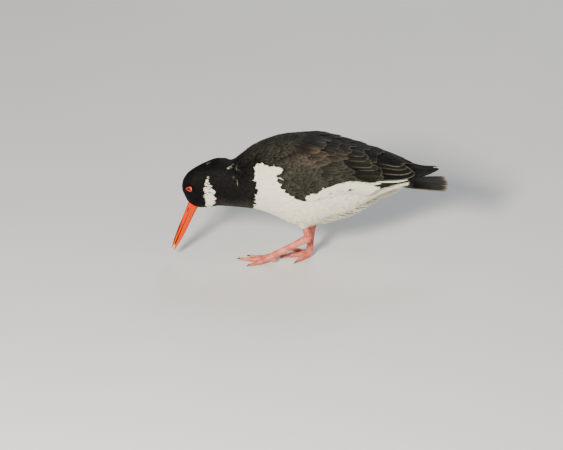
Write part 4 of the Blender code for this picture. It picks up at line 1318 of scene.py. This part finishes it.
def loose_strands(tree, material):
    """Narrow strands over the white coat, standing off its rear and lower edge."""
    rng = np.random.default_rng(SEED + 1)
    coat = Coat("coat_strands")
    for count, x_range, degrees_range, lengths, lifts, climb, widths in STRANDS:
        roots = body_point(rng.uniform(*x_range, count), rng.uniform(*degrees_range, count))
        roots = np.concatenate([roots, roots * (1, -1, 1)])
        white, _ = plumage(roots)
        roots = roots[(white > 0.5) & ~hidden_by_wing(roots)]
        number = len(roots)
        length = rng.uniform(*lengths, number)
        width = rng.uniform(*widths, number)
        lies = tilted(unit(lie_of(roots) + np.array((0, 0, climb))), rng, 0.12)
        lift = rng.uniform(*lifts, number)
        add_small_feathers(coat, WISP_KIND, tree, roots, lies, length, width, rng, lift, 1.0)
    neck_glint_wisps(tree, coat, rng)
    thigh_coat(tree, coat, rng)
    coat.build(material)


def body_skin(material):
    """One closed skin of head, neck, body and thighs, sunk by the coat's depth."""
    shapes = [body_surface(stations(lambda x: 0.0015), 144, 1.0)]
    for side in ("left", "right"):
        shapes.append(thigh(side, 0.0008)[0])
    mesh = remeshed("skin", shapes, BODY_VOXEL, 3)
    points = vectors_of(mesh.vertices, "co")
    room = eye_room(points)
    points[:, 1] -= np.sign(points[:, 1]) * 0.0009 * (1 - ease(room, 0.7, 1.5))
    move_points(mesh, points)
    white, olive = plumage(points)
    # Along 0.2 gives the skin the painted shade of a feather's covered root, darker and greyer where it shows
    # between feathers
    set_attributes(mesh, white=white, olive=olive, edge=0.01, along=0.2)
    u = (points[:, 0] - FOREHEAD[0]) / (BODY_ENDS[1] + RUMP_LENGTH - FOREHEAD[0])
    set_map(mesh, np.stack([u, body_degrees(points) / 360 * 0.9], 1), wrap=0.9)
    smooth_shaded(mesh)
    replaced = ("head", "neck", "torso", "shin_left", "shin_right")
    return make_object("skin", mesh, material, replaced)


# Wings and tail


def wing_normals(x, degrees, side):
    here = wing_point(x, degrees, side=side)
    along = wing_point(x + 0.001, degrees, side=side) - here
    around = wing_point(x, degrees + 1, side=side) - here
    return unit(np.cross(around, along)) * side


def spread_line(points, shares):
    """Places at shares of the way along a line of places."""
    points = np.array(points, float)
    at = np.linspace(0, 1, len(points))
    return np.stack([np.interp(shares, at, points[:, k]) for k in range(2)], axis=1)


def lay_on_wing(coat, rng, side, x, degrees, out, columns, width, profile, values, *barbs,
                length=None, **shape):
    """Adds feathers whose centre lines run over a folded wing: X and degrees of feather and row.

    Barbs are the tooth, fray and thickness that every feather takes.
    """
    spine = wing_point(x, degrees, side=side)
    normal = wing_normals(x, degrees, side)
    if length is None:
        length = line_lengths(spine)
    roots = np.stack([x[:, 0], degrees[:, 0]], axis=1)
    template = Template(x.shape[1] - 1, columns)
    feathers(coat, template, spine, normal, out, length, width, profile, rng, roots, values, *barbs, **shape)


def line_lengths(lines):
    return np.linalg.norm(np.diff(lines, axis=1), axis=2).sum(1)


def quills(coat, rng, side, tier, profile):
    """One tier of large feathers on a wing, from a line of roots to a line of tips."""
    count = tier.count
    share = np.linspace(0, 1, count)
    roots = spread_line(tier.roots, share) + rng.normal(0, 1, (count, 2)) * (0.0010, 0.4)
    tips = spread_line(tier.tips, share) + rng.normal(0, 1, (count, 2)) * (tier.stray, 0.4)
    t = np.array(FLIGHT_ROWS)[None]
    x = between(roots[:, :1], tips[:, :1], t)
    degrees = between(roots[:, 1:], tips[:, 1:], t) + tier.bow * np.sin(math.pi * t)
    order = np.arange(count)[:, None]
    out = between(*tier.heights, t ** 0.8) + LAYER_STEP * order * (0.3 + 0.7 * t)
    width = between(*tier.widths, share) * rng.uniform(0.95, 1.05, count)
    values = {
        "white": tier.white,
        "worn": tier.worn * worn_patch(between(x[:, :1], x[:, -1:], 0.6), degrees.mean(1)[:, None]),
        "olive": np.clip(tier.olive + 0.08 * rng.normal(0, 1, (count, 1)), 0, 1),
        "tone": rng.normal(0, 0.45, (count, 1)),
        "fringe": tier.fringe * rng.uniform(0.5, 1.0, (count, 1)),
    }
    lay_on_wing(
        coat, rng, side, x, degrees, out, QUILL_COLUMNS, width, profile, values, tier.tooth, tier.fray,
        0.00032, ridge=SHAFT_RIDGE,
    )


def worn_patch(x, degrees):
    """Brownish, worn feathers high on the wing's front and over its middle."""
    front, middle = (
        np.exp(-((x - centre) / reach) ** 2 - ((degrees - angle) / width) ** 2)
        for centre, reach, angle, width in WORN_PATCHES
    )
    return WORN_SHARE * np.maximum(front, middle)


def in_hook(x, degrees):
    """True in the point of white that reaches back over the front of the wing."""
    return (x < HOOK_END) & (degrees < shoulder_line(x)) & (degrees > np.interp(x, *HOOK_LOWER))


def small_coverts(coat, rng, side):
    """Rows of soft lesser coverts over the front of the wing."""
    places = []
    for row, x in enumerate(np.arange(*SMALL_COVERT_ROWS)):
        low, high = float(wing_lower_edge(x)), float(wing_upper_edge(x))
        arc = math.radians(high - low) * float(wing_half_width(x))
        count = max(3, int(arc / SMALL_COVERT_SPACING))
        spots = np.arange(count) + 0.5 * (row % 2) + rng.uniform(-0.25, 0.25, count)
        degrees = low + (high - low) * spots / count
        places.append(np.stack([x + rng.uniform(-0.0008, 0.0008, count), degrees], axis=1))
    x, degrees = np.concatenate(places).T[..., None]
    number = len(x)
    length = (0.0092 + 0.0075 * ease(x, -0.040, 0.020)) * rng.uniform(0.9, 1.15, (number, 1))
    t = np.array(COVERT_ROWS)[None]
    drift = -9.0 * ease(degrees, 15, 55) + rng.normal(0, 1.5, (number, 1))
    kept = ~in_hook(x + length * t, degrees + drift * t).any(axis=1)
    kept &= rng.random(number) > ease(x[:, 0], *SMALL_COVERTS_THIN_OUT)
    x, degrees, length, drift = x[kept], degrees[kept], length[kept], drift[kept]
    number = len(x)
    out = between(-0.0014, 0.0013, t ** 0.8) + rng.uniform(0, 0.0008, (number, 1)) * t
    width = (length * rng.uniform(0.42, 0.56, (number, 1)))[:, 0]
    values = {
        "white": 0.0, "olive": np.clip(0.85 + 0.15 * rng.normal(0, 1, (number, 1)), 0, 1.2),
        "worn": worn_patch(x + length * 0.6, degrees), "tone": rng.normal(0, 0.4, (number, 1)),
        "fringe": rng.uniform(0.0, 0.06, (number, 1)),
    }
    lay_on_wing(
        coat, rng, side, x + length * t, degrees + drift * t, out, 8, width, COVERT_PROFILE, values,
        0.16, 0.7, 0.00022, length=length[:, 0],
    )


def flank_tufts(rng, side, material):
    """White flank feathers that lap over the wing's lower edge."""
    coat = Coat("flank_tufts_left" if side < 0 else "flank_tufts_right")
    for below, climb, count, widths in TUFT_ROWS:
        x = np.linspace(*TUFT_RANGE, count)[:, None] + rng.normal(0, 0.0010, (count, 1))
        below = below * (0.3 + 0.7 * ease(x, 0.0, 0.035))
        start = wing_lower_edge(x) - below + rng.normal(0, 0.8, (count, 1))
        length = rng.uniform(0.0095, 0.0150, (count, 1))
        t = np.array(COVERT_ROWS)[None]
        high = np.interp(x, *TUFT_CLIMB) * climb * rng.uniform(0.55, 1.15, (count, 1))
        rise = (below + high) * t ** 1.1
        out = between(-0.0034, 0.0030, t ** 0.8) + rng.uniform(-0.0004, 0.0006, (count, 1)) * t
        width = rng.uniform(*widths, count)
        values = {
            "white": 1.0, "olive": 0.0, "worn": 0.0, "tone": rng.normal(0, 0.4, (count, 1)), "fringe": 0.0,
        }
        lay_on_wing(
            coat, rng, side, x + length * t, start + rise, out, 5, width, TUFT_PROFILE, values,
            0.22, 0.6, 0.0002, length=length[:, 0], camber=0.06,
        )
    coat.build(material)


def wing_arm(side, name, material, replaced):
    """The closed shell of the wing under its feathers."""
    xs = np.linspace(*ARM_ENDS, 80)
    x = xs[:, None]
    degrees = np.linspace(wing_lower_edge(xs), wing_upper_edge(xs), 24, axis=1)
    swell = 0.0006 * np.sin(np.linspace(0, math.pi, 24))
    outer = wing_point(x, degrees, -0.0014 + swell - 0.0022 * ease(x, 0.087, 0.116), side)
    inner = wing_point(x, degrees, -0.0052 - swell, side)
    points, triangles = tube(np.concatenate([outer, inner[:, ::-1]], axis=1))
    triangles = turned_out(points, triangles)
    mesh = mesh_from_arrays(name, points, triangles)
    turns = np.concatenate([degrees, degrees[:, ::-1]], axis=1).ravel()
    turns = np.concatenate([turns, degrees[-1:, 0], degrees[-1:, 0]])
    low_edge = turns < wing_lower_edge(points[:, 0]) + 4
    low_edge &= (points[:, 0] > WHITE_EDGE_ENDS[0]) & (points[:, 0] < WHITE_EDGE_ENDS[1])
    white = in_hook(points[:, 0], turns) | low_edge
    # Along 0.7 gives the shell a little of the feathers' painted root shade
    set_attributes(mesh, white=white, olive=0.5, edge=0.01, along=0.7)
    u = (points[:, 0] - xs[0]) / (xs[-1] - xs[0])
    v = (points[:, 2] - points[:, 2].min()) / np.ptp(points[:, 2])
    set_map(mesh, np.stack([u, v], 1))
    smooth_shaded(mesh, 60)
    return make_object(name, mesh, material, replaced)


def wings(material):
    for side, word in ((-1, "left"), (1, "right")):
        rng = np.random.default_rng(SEED + 10 + side)
        wing_arm(side, f"wing_arm_{word}", material, (f"wing_{word}",))
        flight = Coat(f"flight_feathers_{word}")
        for tier in FLIGHT_TIERS:
            quills(flight, rng, side, tier, FLIGHT_PROFILE)
        flight.build(material)
        coverts = Coat(f"wing_coverts_{word}")
        for tier in COVERT_TIERS:
            quills(coverts, rng, side, tier, SOFT_PROFILE)
        small_coverts(coverts, rng, side)
        coverts.build(material)
        flank_tufts(rng, side, material)


def tail(material):
    """Twelve tail feathers in a shallow fan, white at the root with a broad dark end."""
    rng = np.random.default_rng(SEED + 20)
    coat = Coat("tail_feathers")
    spines = []
    for pair in range(TAIL_PAIRS):
        for side in (-1, 1):
            spread = side * (pair + 0.5) + rng.normal(0, 0.16)
            drop = TAIL_STEP_DOWN * (pair + (0.5 if side > 0 else 0.0))
            tip_x = TAIL_TIP[0] - TAIL_SHORTENING * pair * pair - abs(rng.normal(0, 0.0012))
            t = np.array(FLIGHT_ROWS)
            x = between(TAIL_ROOT[0], tip_x, t)
            z = between(TAIL_ROOT[1], TAIL_TIP[1], t) - drop
            y = spread * between(TAIL_SPACING[0], TAIL_SPACING[1], t)
            spines.append(np.stack([x, y, z], axis=1))
    spine = np.array(spines)
    normal = np.zeros_like(spine)
    normal[..., 2] = 1.0
    number = len(spine)
    template = Template(len(FLIGHT_ROWS) - 1, QUILL_COLUMNS)
    travelled = np.repeat(FLIGHT_ROWS[:-1], template.ring)
    travelled = np.concatenate([travelled, np.ones(template.columns - 1)])
    white = 1 - ease(travelled, *TAIL_WHITE_END)
    values = {
        "white": white[None], "olive": 0.85, "worn": 0.0, "tone": rng.normal(0.3, 0.3, (number, 1)),
        "fringe": rng.uniform(1.2, 2.2, (number, 1)),
    }
    out = np.zeros((number, len(FLIGHT_ROWS)))
    width = RECTRIX_WIDTH * rng.uniform(0.97, 1.03, number)
    place = np.stack([spine[:, 0, 0] + 0.001 * np.arange(number), spine[:, 0, 1]], axis=1)
    feathers(
        coat, template, spine, normal, out, line_lengths(spine), width, FLIGHT_PROFILE, rng, place, values,
        0.012, 0.4, 0.00035, camber=0.06, ridge=SHAFT_RIDGE,
    )
    coat.build(material, ("tail",))


# Bill and eyes


def jaw(name, upper, material):
    base, along, up, length = bill_axes()
    shares = np.concatenate([np.linspace(-0.14, 0.96, 90), np.linspace(0.965, 1.0, 10)])
    turns = np.linspace(0, math.pi, 29)
    t = shares[:, None]
    gap = mouth_gap(t) if upper else -mouth_gap(t)
    line = mouth_line(t) + gap
    edge = culmen(t) if upper else gonys(t)
    round_end = np.sqrt(np.clip((1.004 - t) / 0.03, 0.02, 1))
    round_end = np.where(t > 0.974, round_end, 1.0)
    side = bill_half_width(t) * np.sign(np.cos(turns)) * np.abs(np.cos(turns)) ** 0.8 * round_end
    lift = np.sin(turns) ** 0.8
    groove = 0.0
    hole = np.zeros(np.broadcast_shapes(t.shape, turns.shape))
    if upper:
        in_groove = np.exp(-((lift - 0.50) / 0.16) ** 2) * ease(t, -0.04, 0.04) * (1 - ease(t, 0.30, 0.48))
        hole = np.exp(-((lift - NOSTRIL[1]) / 0.075) ** 4) * np.exp(-((t - NOSTRIL[0]) / 0.050) ** 4)
        groove = 0.00042 * in_groove + 0.0011 * hole
    side = side - np.sign(side) * np.minimum(groove, np.abs(side) * 0.8)
    rise = line + (edge - line) * lift * (0.75 + 0.25 * round_end)
    centre = base + along * (t * length)
    rings = centre[:, None] + side[..., None] * SIDEWAYS + rise[..., None] * up
    mesh = tube_mesh(name, rings)
    ridge = (1.0 if upper else 0.30) * lift
    for key, values in (("share", t), ("ridge", ridge), ("hole", hole)):
        grid = np.broadcast_to(values, hole.shape)
        set_attributes(mesh, **{key: np.concatenate([grid.ravel(), grid[0, :1], grid[-1, :1]])})
    smooth_shaded(mesh, 50)
    return make_object(name, mesh, material, ("bill_upper" if upper else "bill_lower",))


def mouth(material):
    """A tongue that fills the gape behind the tips, coloured as the painted shadow between the jaws."""
    base, along, up, length = bill_axes()
    t = np.linspace(-0.10, 0.90, 60)
    turn = np.linspace(0, 2 * math.pi, 16, endpoint=False)
    close = np.minimum(1, (0.90 - t) / 0.25 + 0.05)
    wide = bill_half_width(t) * 0.62 * close
    deep = (mouth_gap(t) + 0.0003) * (0.4 + 0.6 * close)
    centre = base + along * (t * length)[:, None] + up * mouth_line(t)[:, None]
    sideways = wide[:, None, None] * np.cos(turn)[None, :, None] * SIDEWAYS
    rings = centre[:, None] + sideways + deep[:, None, None] * np.sin(turn)[None, :, None] * up
    mesh = tube_mesh("tongue", rings)
    smooth_shaded(mesh)
    make_object("tongue", mesh, material)


def eyeball(side, material):
    count, rows = 48, 36
    polar = np.linspace(0, math.pi, rows + 2)[1:-1]
    turn = np.linspace(0, 2 * math.pi, count, endpoint=False)
    size = np.array(EYE_SIZE)
    rings = np.stack([
        np.sin(polar)[:, None] * np.cos(turn) * size[0],
        np.sin(polar)[:, None] * np.sin(turn) * size[1],
        np.cos(polar)[:, None] * size[2] * np.ones(count),
    ], axis=-1)
    local, triangles = tube(rings, (0, 0, size[2]), (0, 0, -size[2]))
    radius = np.hypot(local[:, 0], local[:, 1]) + np.where(local[:, 2] < 0, 0.01, 0)
    angle = np.arctan2(local[:, 1], local[:, 0])
    points = moved(local, eye_frame(side) @ Matrix.Translation((0, 0, -EYE_DEPTH)))
    mesh = mesh_from_arrays(f"eyeball_{side}", points, turned_out(points, triangles))
    set_attributes(mesh, radius=radius, rays=0.5 + 0.5 * np.sin(angle * 17 + 2 * np.sin(angle * 5)))
    smooth_shaded(mesh)
    make_object(f"eyeball_{side}", mesh, material, (f"eye_{side}",))


def eye_ring(side, material):
    """The bare ring round the eye, a little angular and uneven."""
    steps, sides = 72, 12
    turn = np.linspace(0, 2 * math.pi, steps, endpoint=False)
    corner = 1 + 0.15 * np.cos(3 * turn)
    tube_turn = np.linspace(0, 2 * math.pi, sides, endpoint=False)
    rim = EYE_RING_THICKNESS * (1 + 0.12 * np.sin(turn * 13))
    rings = np.zeros((steps, sides, 3))
    for axis, wave in enumerate((np.cos(turn), np.sin(turn))):
        radius = (EYE_RING_SIZE[axis] * corner)[:, None] + rim[:, None] * np.cos(tube_turn)
        rings[..., axis] = radius * wave[:, None]
    rings[..., 2] = 0.00055 * np.sin(tube_turn) - 0.0003
    points = moved(rings.reshape(-1, 3), eye_frame(side))
    faces = [band(r * sides, (r + 1) % steps * sides, sides) for r in range(steps)]
    triangles = turned_out(points, np.concatenate(faces))
    mesh = mesh_from_arrays(f"eye_ring_{side}", points, triangles)
    set_attributes(mesh, rear=ease(-rings[..., 0] - 0.4 * rings[..., 1], 0.0020, 0.0040).ravel())
    smooth_shaded(mesh)
    make_object(f"eye_ring_{side}", mesh, material)


# Legs


def smooth_line(points, steps):
    """A line of places that passes smoothly through the given points, evenly spaced along it."""
    points = np.array(points, float)
    at = distance_along(points)
    curves = [smooth_curve(np.stack([at, points[:, k]], 1)) for k in range(3)]
    where = np.linspace(0, at[-1], steps)
    return np.stack([curve(where) for curve in curves], axis=1)


def limb_axes(ahead):
    """The directions across a limb and to its front where its centre line runs ahead."""
    across = unit(np.cross(np.cross(ahead, SIDEWAYS), ahead))
    return across, np.cross(ahead, across)


def limb(points, profile, flatness=1.0, sides=24, spacing=0.0007):
    """A closed tapered tube along a smooth line, and its centre line with the radius at each step."""
    length = np.linalg.norm(np.diff(np.array(points), axis=0), axis=1).sum()
    steps = max(8, int(length / spacing))
    centre = smooth_line(points, steps)
    radius = smooth_curve(profile)(np.linspace(0, 1, steps))
    ahead = unit(np.gradient(centre, axis=0))
    across, front = limb_axes(ahead)
    turn = np.linspace(0, 2 * math.pi, sides, endpoint=False)
    ring = across[:, None] * (np.cos(turn) * flatness)[:, None] + front[:, None] * np.sin(turn)[:, None]
    rings = centre[:, None] + ring * radius[:, None, None]
    caps = (centre[0] - ahead[0] * radius[0] * 0.6, centre[-1] + ahead[-1] * radius[-1] * 0.6)
    shape = tube(rings, *caps)
    return (shape[0], turned_out(*shape)), centre, radius


def web(ball, first, second, thickness=0.0016):
    """The small web of skin between two toes."""
    corners = np.array([
        ball, ball + (first - ball) * 1.15, ball + ((first + second) / 2 - ball) * 0.95,
        ball + (second - ball) * 1.15,
    ])
    lift = np.array((0, 0, thickness / 2))
    points = np.concatenate([corners + lift, corners - lift])
    triangles = np.array([
        (0, 1, 2), (0, 2, 3), (4, 6, 5), (4, 7, 6), (0, 4, 5), (0, 5, 1), (1, 5, 6), (1, 6, 2),
        (2, 6, 7), (2, 7, 3), (3, 7, 4), (3, 4, 0),
    ])
    return points, turned_out(points, triangles)


def joined(shapes):
    """Points and triangles of several shapes as one list each."""
    starts = np.cumsum([0] + [len(points) for points, _ in shapes])
    triangles = [faces + start for (_, faces), start in zip(shapes, starts)]
    return np.concatenate([points for points, _ in shapes]), np.concatenate(triangles)


def remeshed(name, shapes, voxel, smoothing):
    """One closed skin round all the shapes."""
    source = bpy.data.objects.new(name + "_source", mesh_from_arrays(name + "_source", *joined(shapes)))
    bpy.context.scene.collection.objects.link(source)
    remesh = source.modifiers.new("Remesh", "REMESH")
    remesh.mode = "VOXEL"
    remesh.voxel_size = voxel
    smooth = source.modifiers.new("Smooth", "SMOOTH")
    smooth.factor = 0.5
    smooth.iterations = smoothing
    triangulate = source.modifiers.new("Triangulate", "TRIANGULATE")
    triangulate.min_vertices = 4
    depsgraph = bpy.context.evaluated_depsgraph_get()
    mesh = bpy.data.meshes.new_from_object(source.evaluated_get(depsgraph))
    mesh.name = name
    bpy.data.objects.remove(source)
    return mesh


def along_limbs(points, lines):
    """For each point the length along the nearest limb, the length round it and the limb's number."""
    centres = np.concatenate([line for line, _ in lines])
    radii = np.concatenate([radius for _, radius in lines])
    lengths = np.concatenate([distance_along(line) for line, _ in lines])
    aheads = np.concatenate([unit(np.gradient(line, axis=0)) for line, _ in lines])
    numbers = np.concatenate([np.full(len(line), number) for number, (line, _) in enumerate(lines)])
    nearest = np.zeros(len(points), int)
    for start in range(0, len(points), 4000):
        part = slice(start, start + 4000)
        away = np.linalg.norm(points[part, None] - centres[None], axis=2) - radii[None]
        nearest[part] = away.argmin(1)
    offset = points - centres[nearest]
    ahead = aheads[nearest]
    length = lengths[nearest] + np.einsum("ij,ij->i", offset, ahead)
    across, front = limb_axes(ahead)
    turn = np.arctan2(np.einsum("ij,ij->i", offset, front), np.einsum("ij,ij->i", offset, across))
    return length, turn * radii[nearest], numbers[nearest]


def leg(side, joints, skin_material, horn_material):
    """Bare shank, heel joint, tarsus, ball and three toes in one skin, and the claws."""
    shin, ankle, ball = (np.array(joints[key]) for key in ("shin", "ankle", "ball"))
    hip = np.array(joints["hip"])
    top = shin + (hip - shin) * 0.45
    shank, shank_line, shank_radius = limb((top, shin, ankle), SHANK_PROFILE, 0.9)
    tarsus, tarsus_line, tarsus_radius = limb(
        (ankle, between(ankle, ball, 0.5), ball), TARSUS_PROFILE, TARSUS_FLATNESS,
    )
    shapes = [shank, tarsus]
    lines = [(shank_line, shank_radius), (tarsus_line, tarsus_radius)]
    claws = []
    for knuckle, bend, tip in joints["toes"]:
        knuckle, bend, tip = np.array(knuckle), np.array(bend), np.array(tip)
        for joint, radius in zip((knuckle, bend, tip), TOE_JOINT_RADII):
            joint[2] = max(joint[2], 0.85 * radius)
        toe, line, radius = limb((ball, knuckle, bend, tip), TOE_PROFILE)
        shapes.append(toe)
        lines.append((line, radius))
        ahead = unit(tip - bend)
        end = tip + ahead * (CLAW_LENGTH + 0.001)
        middle = tip + ahead * 0.0024 + np.array((0, 0, 0.0009))
        start = tip - ahead * 0.0008 + np.array((0, 0, 0.0004))
        end[2] = 0.0006
        claws.append(limb((start, middle, end), CLAW_PROFILE, 0.8, 14, 0.0003)[0])
    toes = [np.array(toe[0]) for toe in joints["toes"]]
    shapes.append(web(ball, toes[0], toes[1]))
    pad = np.array((ball[0] + PAD_REACH, ball[1], PAD_HEIGHT))
    shapes.append(limb((ball, pad), PAD_PROFILE)[0])

    mesh = remeshed(f"leg_{side}", shapes, SKIN_VOXEL, 6)
    points = vectors_of(mesh.vertices, "co")
    normals = vectors_of(mesh.vertex_normals, "vector")
    length, around, number = along_limbs(points, lines)
    on_toes = (number >= 2) & (normals[:, 2] > 0.2)
    scutes = np.where(on_toes, np.abs(np.sin(length * math.pi / SCUTE_PITCH)) ** 0.5, 0.6)
    points += normals * (SCUTE_HEIGHT * (scutes - 0.6))[:, None]
    points[:, 2] = np.maximum(points[:, 2], 0.0)
    move_points(mesh, points)
    set_attributes(mesh, length=length, round=around, part=number)
    smooth_shaded(mesh)
    make_object(f"leg_{side}", mesh, skin_material, (f"tarsus_{side}", f"foot_{side}"))

    claw_points, claw_triangles = joined(claws)
    claw_points[:, 2] = np.maximum(claw_points[:, 2], 0.0)
    claw_mesh = mesh_from_arrays(f"claws_{side}", claw_points, claw_triangles)
    smooth_shaded(claw_mesh, 50)
    make_object(f"claws_{side}", claw_mesh, horn_material)


# Stage


def stage():
    floor_mesh = bpy.data.meshes.new("floor")
    corners = [(x * FLOOR_REACH, y * FLOOR_REACH, 0) for x, y in ((-1, -1), (1, -1), (1, 1), (-1, 1))]
    floor_mesh.from_pydata(corners, [], [(0, 1, 2, 3)])
    floor = bpy.data.objects.new("floor", floor_mesh)
    floor_mesh.materials.append(floor_material())
    bpy.context.scene.collection.objects.link(floor)

    world = bpy.data.worlds.new("studio")
    bpy.context.scene.world = world
    world.use_nodes = True
    background = world.node_tree.nodes["Background"]
    background.inputs["Color"].default_value = SKY_COLOUR
    background.inputs["Strength"].default_value = SKY_STRENGTH

    for name, place, power, size, colour in LAMPS:
        lamp = bpy.data.lights.new(name, "AREA")
        lamp.energy = power
        lamp.size = size
        lamp.color = colour
        item = bpy.data.objects.new(name, lamp)
        item.location = place
        aim = Vector(LAMP_TARGET) - Vector(place)
        item.rotation_euler = aim.to_track_quat("-Z", "Y").to_euler()
        bpy.context.scene.collection.objects.link(item)


def camera():
    data = bpy.data.cameras.new("camera")
    data.lens = CAMERA_LENS
    data.sensor_width = SENSOR_WIDTH
    data.clip_end = 100
    item = bpy.data.objects.new("camera", data)
    tilt = math.radians(CAMERA_ELEVATION)
    target = Vector(CAMERA_TARGET) + Vector((SHIFT_X, 0, 0))
    back = Vector((0, -math.cos(tilt), math.sin(tilt)))
    item.location = target + back * CAMERA_DISTANCE
    item.rotation_euler = (-back).to_track_quat("-Z", "Y").to_euler()
    bpy.context.scene.collection.objects.link(item)
    bpy.context.scene.camera = item


camera()
stage()
plumage_material = feather_material("plumage")
body_skin(plumage_material)
body_shape = body_surface(stations(lambda x: 0.0016), 120)
coat_surface = surface_tree(*joined([body_shape, thigh("left")[0], thigh("right")[0]]))
body_coat(coat_surface, plumage_material)
loose_strands(coat_surface, plumage_material)
wings(plumage_material)
tail(plumage_material)
horn = bill_material()
jaw("upper_mandible", True, horn)
jaw("lower_mandible", False, horn)
mouth(gape_shadow_material())
iris = eye_material()
ring = eye_ring_material()
scales = leg_material()
claw_horn = claw_material()
for word in ("left", "right"):
    eyeball(word, iris)
    eye_ring(word, ring)
    leg(word, LEGS[word], scales, claw_horn)
